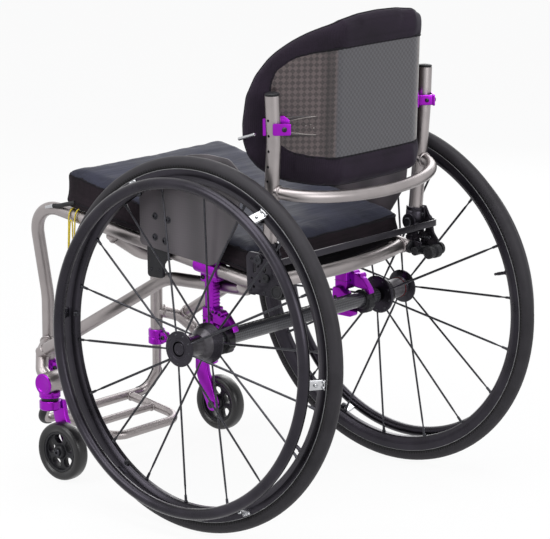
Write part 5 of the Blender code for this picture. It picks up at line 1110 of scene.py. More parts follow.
class MakeCastors(Operator):
    """Makes the barrel caps, bearing collars, forks, castor wheels, tyres and axle bolts"""

    bl_idname = "wheelchair.make_castors"
    bl_label = "Castors and forks"

    def execute(self, context):
        purple = finish_of(purple_anodised_aluminium)
        cap = turned([(0, 0.0018), (0.0125, 0.0018), (0.0135, 0.003), (0.0178, 0.003), (0.019, 0.0018), (0.019, 0),
                      (0, 0)], steps=56, ease=0.0004)
        cap = put(cap, outboard(1, 0.215, STEM_Y, BARREL_Z))
        seat_pair(cap, "barrel_end_cap_side", "frame", purple, ["barrel_cap_side"])

        collar = turned([(0.0064, 0.153), (0.0170, 0.153), (0.0185, 0.1515), (0.0185, 0.1475), (0.0176, 0.1468),
                         (0.0176, 0.1458), (0.0185, 0.1450), (0.0185, 0.1432), (0.0178, 0.1425), (0.0064, 0.1425)],
                        closed=True)
        collar = put(collar, Matrix.Translation((STEM_X, STEM_Y, 0)))
        seat_pair(collar, "bearing_collar_side", "frame", purple, ["stem_collar_side"])

        crown = turned([(0, 0.176), (0.006, 0.176), (0.006, 0.1422), (0.0138, 0.1422), (0.0138, 0.1372),
                        (0.0172, 0.137), (0.0185, 0.1358), (0.0185, 0.1228), (0.0168, 0.121), (0, 0.121)])
        crown = put(crown, Matrix.Translation((STEM_X, STEM_Y, 0)))
        centre = (0.0285, CASTOR_Z - 0.121)
        boss = [(centre[0] + 0.012 * math.cos(math.radians(a)), centre[1] + 0.012 * math.sin(math.radians(a)))
                for a in range(190, 371, 10)]
        front = rounded([(0.0155, 0.014), (-0.0095, 0.014), (-0.010, -0.006), (-0.0055, -0.024), boss[0]],
                        [0.002, 0.006, 0.02], step=math.radians(15))
        outline = [*front, *boss[1:], (0.0275, -0.032), (0.0195, -0.012)]
        arm = plate(outline, 0.010, edge=0.0016)
        arm = put(arm, Matrix.Translation((0.1818, STEM_Y, 0.121)) @ ACROSS)
        eye = [(0.0043, 0.0008), (0.0085, 0.0008), (0.0096, -0.0003), (0.0096, -0.003), (0.0043, -0.003)]
        eye = put(turned(eye, closed=True, steps=32), outboard(-1, -0.1768, CASTOR_Y, CASTOR_Z))
        fork = joined(crown, arm, eye)
        seat_pair(fork, "castor_fork_arm_side", "castor_fork_body_side", purple, ["castor_fork_side"])
        ring = turned([(0.0136, 0.1419), (0.0146, 0.1419), (0.0152, 0.1396), (0.0146, 0.1374), (0.0136, 0.1374)],
                      closed=True)
        ring = put(ring, Matrix.Translation((STEM_X, STEM_Y, 0)))
        seat_pair(ring, "fork_seal_side", "castor_fork_body_side", finish_of(black_moulded_nylon))

        pin = turned([(0, 0.0141), (0.0022, 0.0141), (0.0026, 0.0165), (0.0054, 0.0163), (0.0065, 0.0153),
                      (0.0065, 0.013), (0.004, 0.013), (0.004, -0.0248), (0.0065, -0.0248), (0.0065, -0.0275),
                      (0.0055, -0.028), (0, -0.028)], steps=24)
        pin = put(pin, outboard(1, STEM_X, CASTOR_Y, CASTOR_Z))
        seat_pair(pin, "castor_axle_bolt_side", "castor_fork_body_side", finish_of(black_oxide_steel),
                  ["castor_axle_side"])

        openings = []
        for i in range(5):
            middle = math.tau * (i + 0.5) / 5
            low, high = math.radians(19), math.radians(26.5)
            corners = [(0.0158, -low), (0.0158, low), (0.0292, high), (0.0310, 0), (0.0292, -high)]
            points = [(r * math.cos(middle + a), r * math.sin(middle + a), 0) for r, a in corners]
            bends = [0.004, 0.004, 0.006, 0.02, 0.006]
            openings.append(rounded(points, bends, closed=True, step=math.radians(15)))
        disc = plate(ring_of(0, 0, 0.0336, 60), 0.012, edge=0.0016, holes=openings)
        hub = turned([(0.0043, 0.0125), (0.0098, 0.0125), (0.0115, 0.0110), (0.0128, 0.0060), (0.0128, -0.0060),
                      (0.0115, -0.0110), (0.0098, -0.0125), (0.0043, -0.0125)], closed=True)
        rim = turned([(0.0355, 0.0100), (0.0340, 0.0106), (0.0320, 0.0100), (0.0308, 0.0060), (0.0308, -0.0060),
                      (0.0320, -0.0100), (0.0340, -0.0106), (0.0355, -0.0100)], closed=True, steps=64)
        wheel = joined(disc, hub, rim)
        wheel = put(wheel, outboard(1, STEM_X, CASTOR_Y, CASTOR_Z) @ Matrix.Rotation(math.radians(9), 4, "Z"))
        seat_pair(wheel, "castor_rim_side", "castor_wheel_body_side",
                  finish_of(black_moulded_nylon), ["castor_wheel_side"])

        profile = []
        for a in range(-120, 121, 12):
            c, s = math.cos(math.radians(a)), math.sin(math.radians(a))
            profile.append((0.0430 + math.copysign(abs(c) ** 0.72, c) * 0.0078,
                            math.copysign(abs(s) ** 0.72, s) * 0.0134))
        profile += [(0.0358, 0.0104), (0.0358, -0.0104)]
        tyre = unroll(turned(profile, steps=72, closed=True), 0.05)
        tyre = put(tyre, outboard(1, STEM_X, CASTOR_Y, CASTOR_Z))
        seat_pair(tyre, "castor_tyre_ring_side", "castor_wheel_body_side", finish_of(castor_rubber),
                  ["castor_tyre_side"], smooth=50)
        return {"FINISHED"}


# ---------------------------------------------------------------- rear wheels


class MakeTyresAndRims(Operator):
    """Makes the rear tyres, their rims, a pale ring between the two as a painted highlight on the rim's edge, and
    the inflation valves
    """

    bl_idname = "wheelchair.make_tyres_and_rims"
    bl_label = "Tyres and rims"

    def execute(self, context):
        for word, side in SIDES.items():
            body, place = f"rear_wheel_body_{word}", wheel_place(side)
            profile = []
            for a in range(-126, 127, 9):
                c, s = math.cos(math.radians(a)), math.sin(math.radians(a))
                profile.append((0.2925 + 0.012 * c, 0.0123 * math.copysign(abs(s) ** 0.92, s)))
            profile += [(0.2854, 0.0100), (0.2854, -0.0100)]
            tyre = put(unroll(turned(profile, steps=144, closed=True), 0.3), place)
            seat(tyre, f"rear_tyre_{word}", body, finish_of(tyre_rubber), [f"tyre_{word}"], smooth=50)
            profile = [(0.2850, 0.0104), (0.2843, 0.0112), (0.2745, 0.0112), (0.2700, 0.0098), (0.2640, 0.0066),
                       (0.2620, 0.0040), (0.2620, -0.0040), (0.2640, -0.0066), (0.2700, -0.0098),
                       (0.2745, -0.0112), (0.2843, -0.0112), (0.2850, -0.0104)]
            rim = unroll(turned(profile, steps=144, closed=True, ease=0.0006), 0.27)
            stem = turned([(0, 0), (0.0042, 0), (0.0042, 0.004), (0.0030, 0.005), (0.0030, 0.021), (0.0024, 0.022),
                           (0.0024, 0.027), (0, 0.027)], steps=18)
            turn = math.radians(60 if side > 0 else 75)
            stem = put(stem, aim((0.2632 * math.cos(turn), 0.2632 * math.sin(turn), 0), (0, 0, 0)))
            seat(put(joined(rim, stem), place), f"rear_rim_{word}", body,
                 finish_of(black_anodised_aluminium), [f"rim_{word}"])
            # Painted highlight: two thin pale rings where the rim meets the tyre stand in for the light along the
            # rim's edge
            rings = [turned([(0.2849, 0.0105), (0.2857, 0.0109), (0.2854, 0.0113), (0.2846, 0.0112)], steps=144,
                            closed=True)]
            rings.append(turned_over(rings[0]))
            line = put(joined(*rings), place)
            seat(line, f"rim_highlight_ring_{word}", body,
                 finish_of(plain_accent, "pale_rim_tape", "#6B6B6C", "#848485", 0.0, (0.4, 0.6)), smooth=50)
        return {"FINISHED"}


class MakeHubsAndSpokes(Operator):
    """Makes the hubs, and eighteen spokes with their nipples for each wheel"""

    bl_idname = "wheelchair.make_hubs_and_spokes"
    bl_label = "Hubs and spokes"

    def execute(self, context):
        wide, thin = sizes().spoke / 2, sizes().spoke * 0.3
        for word, side in SIDES.items():
            body, place = f"rear_wheel_body_{word}", wheel_place(side)
            profile = [(0.0068, -0.034), (0.0310, -0.034), (0.0330, -0.0325), (0.0330, -0.0305), (0.0320, -0.0295),
                       (0.0262, -0.0170), (0.0182, -0.0080), (0.0172, -0.0070), (0.0166, 0.0270), (0.0185, 0.0300),
                       (0.0272, 0.0330), (0.0290, 0.0342), (0.0290, 0.0364), (0.0278, 0.0376), (0.0180, 0.0376),
                       (0.0172, 0.0368), (0.0150, 0.0368), (0.0142, 0.0376), (0.0127, 0.0376), (0.0125, 0.0370),
                       (0.0125, 0.0301), (0.0068, 0.0301)]
            hub = turned(profile, steps=64, closed=True)
            hub.data.materials.append(finish_of(black_anodised_aluminium))
            # The barrel between the flanges takes the machined finish, darkened as a painted reflection
            paint(hub, finish_of(machined_aluminium_dark_reflection),
                  lambda f: -0.0172 < f.center.z < 0.0268 and 0.010 < f.center.to_2d().length < 0.027)
            seat(put(hub, place), f"rear_hub_{word}", body,
                 finish_of(black_anodised_aluminium), [f"hub_{word}"])
            ring = turned([(0.0160, 0.0235), (0.0175, 0.0235), (0.0175, 0.0250), (0.0160, 0.0250)], closed=True)
            ring = put(ring, place)
            seat(ring, f"hub_ring_{word}", body,
                 finish_of(plain_accent, "red_hub_ring", "#5E1019", "#7E1521", 0.6, (0.3, 0.4)))

            start = math.radians(16.8) if side > 0 else math.radians(-4.6)
            kinds = {}
            for outer in (True, False):
                root = Vector((0.025, 0, 0.0356)) if outer else Vector((0.029, 0, -0.032))
                tip = Vector((0.2628, 0, 0))
                length = (tip - root).length
                profile = [(0, -0.004), (0.0028, -0.003), (0.0028, -0.001), (0.0017, 0.0), (0.0015, 0.014),
                           (wide, 0.024), (wide, length - 0.030), (0.0014, length - 0.022),
                           (0.0014, length - 0.0135), (0.0022, length - 0.013), (0.0024, length - 0.0035),
                           (0.0032, length - 0.003), (0.0032, length)]
                spoke = turned(profile + [(0, length)], steps=12)
                for vert in spoke.data.vertices:
                    if 0.02 < vert.co.z < length - 0.026:
                        vert.co.x *= thin / wide
                kinds[outer] = (spoke, aim(root, tip))
            parts = []
            for outer, (spoke, lie) in kinds.items():
                turns = []
                for i in range(0 if outer else 1, 18, 2):
                    forward = start + side * math.tau * i / 18
                    turns.append(Matrix.Rotation(math.pi + forward if side > 0 else -forward, 4, "Z") @ lie)
                parts += copies(spoke, turns)
            spokes = put(joined(*parts), place)
            seat(spokes, f"wheel_spokes_{word}", body, finish_of(black_oxide_steel), smooth=50)
        return {"FINISHED"}


class MakePushRings(Operator):
    """Makes the push rings with their six bolted tabs"""

    bl_idname = "wheelchair.make_push_rings"
    bl_label = "Push rings"

    def execute(self, context):
        for word, side in SIDES.items():
            body, place = f"rear_wheel_body_{word}", wheel_place(side)
            deselect()
            bpy.ops.mesh.primitive_torus_add(major_radius=0.2655, minor_radius=sizes().push_ring / 2,
                                             major_segments=144, minor_segments=24)
            ring = put(context.object, Matrix.Translation((0, 0, 0.0425)))
            strip = [(0.2838, 0.0115), (0.2838, 0.0143), (0.2790, 0.0143), (0.2712, 0.0345), (0.2680, 0.0400),
                     (0.2650, 0.0380), (0.2672, 0.0325), (0.2752, 0.0130), (0.2756, 0.0115)]
            tab = plate(rounded(strip, 0.0012, closed=True, step=math.radians(30)), 0.016, edge=0.0008)
            upright = Matrix(((1, 0, 0, 0), (0, 0, -1, 0), (0, 1, 0, 0), (0, 0, 0, 1)))
            tab = put(tab, upright)
            turns = [Matrix.Rotation(math.radians(27 + 60 * i), 4, "Z") for i in range(6)]
            seat(put(ring, place), f"push_ring_{word}", body,
                 finish_of(black_anodised_aluminium), [f"handrim_{word}"], smooth=45)
            tabs = copies(tab, turns)
            knob = turned([(0, 0), (0.0045, 0), (0.0045, 0.0035), (0.0036, 0.0058), (0, 0.0062)], steps=20)
            knob = put(knob, aim((0.2632, 0, 0.0072), (0.2, 0, 0.0060)))
            seat(put(joined(*copies(knob, turns)), place), f"push_ring_nuts_{word}", body,
                 finish_of(black_oxide_steel))
            screws = [bolt((0.2812, y, 0.0142), (0.2812, y, 0.03), 0.0026, 0.0018) for y in (-0.0045, 0.0045)]
            screws.append(bolt((0.2758, 0, 0.0262), (0.300, 0, 0.0355), 0.0032, 0.002))
            screws = put(joined(*tabs, *copies(joined(*screws), turns)), place)
            seat(screws, f"push_ring_bolts_{word}", body, finish_of(satin_steel))
        return {"FINISHED"}


# ---------------------------------------------------------------- rear axle


class MakeAxleBrackets(Operator):
    """Makes the toothed height posts with their rail clamps, and the sliding clamps on the camber tube"""

    bl_idname = "wheelchair.make_axle_brackets"
    bl_label = "Axle brackets and clamps"

    def execute(self, context):
        purple = finish_of(purple_anodised_aluminium)
        centre = Vector((rail_x(-0.020), -0.020, rail_z(-0.020)))
        along = (Vector(RAIL_FRONT) - Vector(RAIL_REAR)).normalized()
        sleeve = turned([(0.0112, -0.025), (0.0138, -0.025), (0.0146, -0.0242), (0.0146, 0.0242), (0.0138, 0.025),
                         (0.0112, 0.025)], closed=True, steps=56)
        sleeve = put(sleeve, aim(centre, centre + along))
        front, rear, top = -0.043, -0.024, 0.4287
        outline = [(front, 0.326), (front, top), (rear, top), (rear, 0.4010)]
        z = 0.3990
        while z > 0.3520:
            outline += [(rear, z), (rear - 0.0013, z - 0.0008), (rear - 0.0013, z - 0.0022), (rear, z - 0.0030)]
            z -= 0.0058
        post = plate([*outline, (rear, 0.326)], 0.017, edge=0.0012)
        post = fore_aft(post, 0.1685)
        lug = [(-0.043, 0.3930), (-0.0300, 0.3925), (-0.0075, 0.3985), (-0.0075, 0.4128), (-0.043, 0.4150)]
        lug = slab(lug, 0.0035, 0.0265, 0.1738, edge=0.0015)
        ribs = [(0.0062 - (0.0008 if i % 2 else 0)) for i in range(28)]
        turns = [math.tau * i / 28 for i in range(28)]
        knob = [(rib * math.cos(turn), rib * math.sin(turn)) for rib, turn in zip(ribs, turns)]
        knurl = put(plate(knob, 0.022, edge=0.0006), Matrix.Translation((0.1740, -0.0135, 0.4005)) @ ACROSS)
        seat_pair(joined(sleeve, post, lug, knurl), "height_post_side", "frame", purple,
                  ["axle_bracket_side"], smooth=30)
        pinch = cross_bolt(0.1868, -0.0375, 0.4005, 0.0042, 0.0026)
        side_bolt = bolt((0.1992, -0.0080, 0.4190), (0.3, -0.0080, 0.4130), 0.0034, 0.0018)
        low = cross_bolt(0.177, -0.0335, 0.3975, 0.0026, 0.0012)
        seat_bolts("height_post_bolts_side", "frame", pinch, side_bolt, low)

        body = block((0.1565, -0.0465, 0.319), (0.1805, -0.0205, 0.349), edge=0.0022, segments=3)
        strap = [(-0.0300, 0.3480), (-0.0080, 0.3470), (0.0060, 0.3400), (0.0190, 0.3245), (0.0235, 0.3150),
                 (0.0168, 0.3145), (0.0090, 0.3215), (-0.0060, 0.3225), (-0.0300, 0.3270)]
        strap = slab(strap, 0.0022, 0.013, 0.1740, edge=0.0012)
        barrel = [(0, -0.008), (0.0044, -0.008), (0.0050, -0.0072), (0.0050, 0.0072), (0.0044, 0.008), (0, 0.008)]
        knuckles = [put(turned(barrel, steps=28), outboard(1, 0.178, y, z))
                    for y, z in ((-0.0180, 0.3450), (-0.0040, 0.3425))]
        foot = [(-0.0465, 0.2800), (-0.0465, 0.3230), (-0.0300, 0.3230), (-0.0170, 0.3120), (-0.0170, 0.2900),
                (-0.0040, 0.2850), (-0.0040, 0.2740), (-0.0380, 0.2740)]
        foot = slab(foot, 0.005, 0.018, 0.1585, edge=0.0016)
        clamp = joined(body, strap, *knuckles, foot)
        seat_pair(clamp, "sliding_clamp_side", "frame", purple, ["axle_clamp_side"], smooth=30)
        screws = [cross_bolt(0.1805, -0.0300, 0.3400, 0.0032, 0.0018),
                  cross_bolt(0.1805, -0.0415, 0.3260, 0.0026, 0.0014),
                  bolt((0.1700, -0.0206, 0.3340), (0.1700, 0.1, 0.3340), 0.0036, 0.0022),
                  cross_bolt(0.1860, -0.0180, 0.3450, 0.0028, 0.0014),
                  cross_bolt(0.1860, -0.0040, 0.3425, 0.0028, 0.0014),
                  cross_bolt(0.1675, -0.0400, 0.2860, 0.0034, 0.0018),
                  cross_bolt(0.1495, -0.0400, 0.3050, 0.0034, 0.0018, toward=0.1)]
        seam = block((0.1562, -0.0468, 0.3330), (0.1808, -0.0202, 0.3337), edge=0.0002)
        seat_bolts("sliding_clamp_bolts_side", "frame", *screws, seam)
        return {"FINISHED"}


class MakeCamberTube(Operator):
    """Makes the carbon camber tube with its notched strip, the lobed collars, the axle pins and buttons"""

    bl_idname = "wheelchair.make_camber_tube"
    bl_label = "Camber tube and axles"

    def execute(self, context):
        half, radius = 0.2105, 0.0127
        tube = turned([(0.0068, -half), (radius - 0.0006, -half), (radius, -half + 0.0006),
                       (radius, half - 0.0006), (radius - 0.0006, half), (0.0068, half)], closed=True, steps=56)
        tube = put(unroll(tube, radius), outboard(1, 0, 0, CAMBER_TUBE_Z))
        seat(tube, "camber_tube_carbon", "frame", finish_of(carbon_tube), ["camber_tube"])
        tooth = block((-0.0030, -0.0030, -0.0008), (0.0030, 0.0030, 0.0013), edge=0.0007)
        lie = Matrix.Rotation(math.radians(24), 4, "X")
        places = [Matrix.Translation((x * 0.0095, 0, CAMBER_TUBE_Z)) @ lie @ Matrix.Translation((0, 0, radius))
                  for x in range(-15, 16)]
        teeth = copies(tooth, places)
        spine = block((-0.146, -0.0016, -0.0010), (0.146, 0.0016, 0.0006), edge=0.0005)
        spine = put(spine, Matrix.Translation((0, 0, CAMBER_TUBE_Z)) @ lie @ Matrix.Translation((0, 0, radius)))
        seat(joined(spine, *teeth), "camber_index_strip", "frame",
             finish_of(black_moulded_nylon))

        lobes = []
        for i in range(96):
            turn = math.tau * i / 96
            reach = 0.0195 + 0.0007 * math.cos(10 * turn)
            lobes.append((0.0056 + reach * math.cos(turn), reach * math.sin(turn)))
        hole = [ring_of(0, 0, 0.0130, 40)]
        collar = plate(lobes, 0.0155, edge=0.0016, holes=hole)
        lip = turned([(0.0130, 0.0076), (0.0166, 0.0076), (0.0174, 0.0084), (0.0174, 0.0094), (0.0166, 0.0100),
                      (0.0130, 0.0100)], closed=True)
        lip_in = turned([(0.0130, -0.0100), (0.0160, -0.0100), (0.0170, -0.0092), (0.0170, -0.0076),
                         (0.0130, -0.0076)], closed=True)
        collar = put(joined(collar, lip, lip_in), outboard(1, 0.179, 0, CAMBER_TUBE_Z))
        seat_pair(collar, "camber_collar_ring_side", "frame", finish_of(black_moulded_nylon),
                  ["camber_collar_side"], smooth=40)

        for word, side in SIDES.items():
            place = wheel_place(side)
            pin = turned([(0, -0.0888), (0.0048, -0.0888), (0.00635, -0.0870), (0.00635, 0.0298), (0.0033, 0.0298),
                          (0.0033, 0.0052), (0, 0.0052)], steps=32)
            seat(put(pin, place), f"quick_axle_{word}", "frame", finish_of(satin_steel),
                 [f"axle_pin_{word}"])
            button = turned([(0, 0.0366), (0.0060, 0.0366), (0.0068, 0.0374), (0.0096, 0.0374), (0.0105, 0.0364),
                             (0.0105, 0.0334), (0.0030, 0.0334), (0.0030, 0.0100), (0, 0.0100)], steps=40)
            seat(put(button, place), f"axle_release_button_{word}", f"axle_button_body_{word}",
                 finish_of(black_anodised_aluminium), [f"axle_button_{word}"])
        return {"FINISHED"}


# ---------------------------------------------------------------- footrest


class MakeFootrest(Operator):
    """Bends the footrest, with its side rails, cross bar, rubber strips and clamps"""

    bl_idname = "wheelchair.make_footrest"
    bl_label = "Footrest and clamps"

    def execute(self, context):
        radius = sizes().hanger_tube / 2
        half = [(LEG_X, leg_y(0.240), 0.240), (LEG_X, leg_y(0.108), 0.108), (LEG_X, -0.481, 0.0678)]
        other = [(-x, y, z) for x, y, z in reversed(half)]
        route = rounded(half + other, [0.028] * 4, step=math.radians(7))
        hanger = pipe(route, radius, sides=24)
        out, front, rear = 0.087, (-0.481, 0.0678), (-0.349, 0.0485)
        corners = [(out, *front), (out, *rear), (-out, *rear), (-out, *front)]
        loop = pipe(rounded(corners, [0.036, 0.036], step=math.radians(7)), 0.008, sides=24)
        middle = 0.0678 - (0.0645 / 0.132) * 0.0193
        bar = pipe([(x, -0.4165, middle) for x in (-out, out)], 0.007, sides=24)
        beads = []
        for side in (1, -1):
            beads.append(weld((side * out, -0.4725, 0.0666), (side * out, *rear), 0.0082, 0.0013))
            beads.append(weld((side * 0.0785, -0.4165, middle), (0, -0.4165, middle), 0.0072, 0.0013))
        seat(joined(hanger, loop, bar, *beads), "footrest_tubes", "footrest",
             finish_of(bead_blasted_titanium), ["footrest_frame"])
        knee = [p for p in route if p.z < 0.114 and p.x > 0.105]
        strip = pipe(knee, radius + 0.0012, sides=24)
        bare = Vector((-0.45, 0.85, 0.3)).normalized()
        for vert in strip.data.vertices:
            near = min(knee, key=lambda p: (p - vert.co).length)
            away = (vert.co - near).normalized()
            if away.dot(bare) > 0.25:
                vert.co = near + away * (radius - 0.001)
        seat_pair(strip, "footrest_bumper_side", "footrest",
                  finish_of(black_moulded_nylon))

        purple = finish_of(purple_anodised_aluminium)
        low, high = Vector((LEG_X, leg_y(0.160), 0.160)), Vector((LEG_X, leg_y(0.187), 0.187))
        clamp = turned([(0.0085, 0), (0.0142, 0), (0.0153, 0.0011), (0.0153, 0.0115), (0.0146, 0.0125),
                        (0.0146, 0.0135), (0.0153, 0.0145), (0.0153, 0.0259), (0.0142, 0.027), (0.0085, 0.027)],
                       closed=True, steps=56)
        clamp = put(clamp, aim(low, high))
        lug = [(low.y + 0.008, 0.1645), (low.y + 0.0265, 0.1645), (low.y + 0.0292, 0.1735),
               (low.y + 0.0265, 0.1835), (low.y + 0.008, 0.1835)]
        lug = slab(lug, 0.0045, 0.013, LEG_X, edge=0.0016)
        seat_pair(joined(clamp, lug), "footrest_clamp_collar_side", "frame", purple,
                  ["footrest_clamp_side"])
        y = low.y + 0.0213
        screw = joined(cross_bolt(LEG_X + 0.0065, y, 0.1735, 0.0045, 0.0034),
                       cross_bolt(LEG_X - 0.0065, y, 0.1735, 0.0045, 0.0034, toward=0))
        seat_pair(screw, "footrest_clamp_bolt_side", "frame", finish_of(black_oxide_steel))
        return {"FINISHED"}


# ---------------------------------------------------------------- back


class MakeBackHinges(Operator):
    """Makes the hinge plates with their slots and lock knobs, the hinge pins and the release bar"""

    bl_idname = "wheelchair.make_back_hinges"
    bl_label = "Back hinges and release bar"

    def execute(self, context):
        black = finish_of(black_anodised_aluminium)
        outline = [(0.074, 0.454), (0.080, 0.462), (0.126, 0.4615), (0.131, 0.432), (0.142, 0.418),
                   (0.141, 0.3935), (0.076, 0.3950)]
        slot = [(0.0885, 0.4285), (0.0935, 0.4285), (0.0935, 0.4445), (0.0885, 0.4445)]
        slot = rounded(slot, 0.0024, closed=True)
        slant = [(0.1085, 0.4330), (0.1135, 0.4310), (0.1165, 0.4400), (0.1115, 0.4420)]
        slant = rounded(slant, 0.0022, closed=True)
        holes = [slot, slant, ring_of(0.1030, 0.4165, 0.0022), ring_of(0.0900, 0.4065, 0.0022),
                 ring_of(0.0995, 0.4275, 0.0018), ring_of(0.0860, 0.4200, 0.0016)]
        bends = [0.006, 0.004, 0.008, 0.012, 0.008, 0.008, 0.007]
        face = slab(outline, bends, 0.005, 0.2041, edge=0.0008, holes=holes)
        clip = block((0.1995, 0.0745, 0.3915), (0.2025, 0.0885, 0.421), edge=0.001)
        hold = block((0.1900, 0.0925, 0.3935), (0.2030, 0.1150, 0.4155), edge=0.0025, segments=3)
        seat_pair(joined(face, clip, hold), "hinge_plate_side", "frame", black,
                  ["back_plate_side"])
        knob = turned([(0, 0.0010), (0.0072, 0.0010), (0.0078, 0.0), (0.0098, 0.0), (0.0108, 0.0012),
                       (0.0108, 0.0085), (0.0092, 0.0095), (0.0092, 0.0150), (0.0115, 0.0160), (0.0115, 0.0262),
                       (0.0105, 0.0276), (0, 0.0276)], steps=48)
        knob = put(knob, outboard(1, 0.1762, 0.1400, 0.4020))
        middle_knob = turned([(0, 0), (0.0067, 0), (0.0075, 0.0009), (0.0075, 0.0130), (0.0058, 0.0140),
                              (0.0058, 0.0262), (0, 0.0262)], steps=40)
        middle_knob = put(middle_knob, outboard(1, 0.1762, 0.1111, 0.4008))
        cap = turned([(0, 0.0045), (0.0070, 0.0045), (0.0078, 0.0058), (0.0094, 0.0058), (0.0104, 0.0046),
                      (0.0104, 0.0010), (0.0096, 0.0), (0, 0.0)], steps=48)
        cap = put(cap, outboard(1, 0.2067, 0.1400, 0.4050))
        boss = turned([(0, 0.0024), (0.0024, 0.0024), (0.0028, 0.0034), (0.0062, 0.0034), (0.0070, 0.0026),
                       (0.0070, 0), (0, 0)], steps=40)
        boss = put(boss, outboard(1, 0.2066, 0.1160, 0.4235))
        arm = turned([(0, 0), (0.0062, 0), (0.0068, 0.0008), (0.0068, 0.0110), (0.0050, 0.0120), (0.0050, 0.0138),
                      (0, 0.0138)], steps=36)
        arm = put(arm, outboard(1, 0.1762, 0.0824, 0.4010))
        web = block((0.1900, 0.1000, 0.3935), (0.2020, 0.1440, 0.4095), edge=0.003, segments=3)
        seat_pair(joined(knob, middle_knob, cap, boss, arm, web), "lock_knob_side", "frame",
                  finish_of(black_moulded_nylon))
        screws = [cross_bolt(0.2066, y, z, size, 0.0014) for y, z, size in
                  ((0.0850, 0.4515, 0.0026), (0.0985, 0.4400, 0.0022), (0.1120, 0.3985, 0.0030),
                   (0.0820, 0.4000, 0.0026), (0.1190, 0.4500, 0.0024))]
        screws += [cross_bolt(0.2016, y, z, 0.0034, 0.0022, toward=0.1) for y, z in
                   ((0.1180, 0.4450), (0.0960, 0.4330), (0.1240, 0.4230))]
        spring = []
        for i in range(73):
            turn = math.tau * i / 12
            x, z = 0.1945 + 0.0022 * math.cos(turn), 0.4240 + 0.0022 * math.sin(turn)
            spring.append((x, 0.1150 + i * 0.0002, z))
        seat_pair(joined(*screws, pipe(spring, 0.0006, sides=8)), "hinge_screws_side", "frame",
                  finish_of(black_oxide_steel))

        pin = turned([(0, 0.2128), (0.0024, 0.2128), (0.0030, 0.2137), (0.0064, 0.2137), (0.0075, 0.2126),
                      (0.0075, 0.2106), (0.004, 0.2105), (0.004, 0.1697), (0.0075, 0.1697), (0.0075, 0.1668),
                      (0.0062, 0.1657), (0, 0.1657)], steps=32)
        pin = put(pin, outboard(1, 0, HINGE_Y, HINGE_Z))
        seat_pair(pin, "hinge_bolt_side", "frame", finish_of(black_oxide_steel), ["hinge_pin_side"])

        outer, inner, y = 0.2102, 0.2072, 0.135
        line = []
        for x, back, bend in ((outer, y + 0.003, 0.012), (-inner, y, 0.009)):
            line += rounded([(x, HINGE_Y), (x, back), (-x, back), (-x, HINGE_Y)], [bend, bend],
                            step=math.radians(8))
        bar = plate(line, 0.011, edge=0.0007)
        bar = put(bar, Matrix.Translation((0, 0, 0.4495)))
        eyes = []
        for side in (1, -1):
            eye = turned([(0.0043, 0), (0.0080, 0), (0.0085, 0.0005), (0.0085, 0.0025), (0.0080, 0.003),
                          (0.0043, 0.003)], closed=True, steps=36)
            eyes.append(put(eye, outboard(side, inner, HINGE_Y, HINGE_Z)))
        seat(joined(bar, *eyes), "release_bar_strip", "release_lever", black, ["release_bar"])
        return {"FINISHED"}


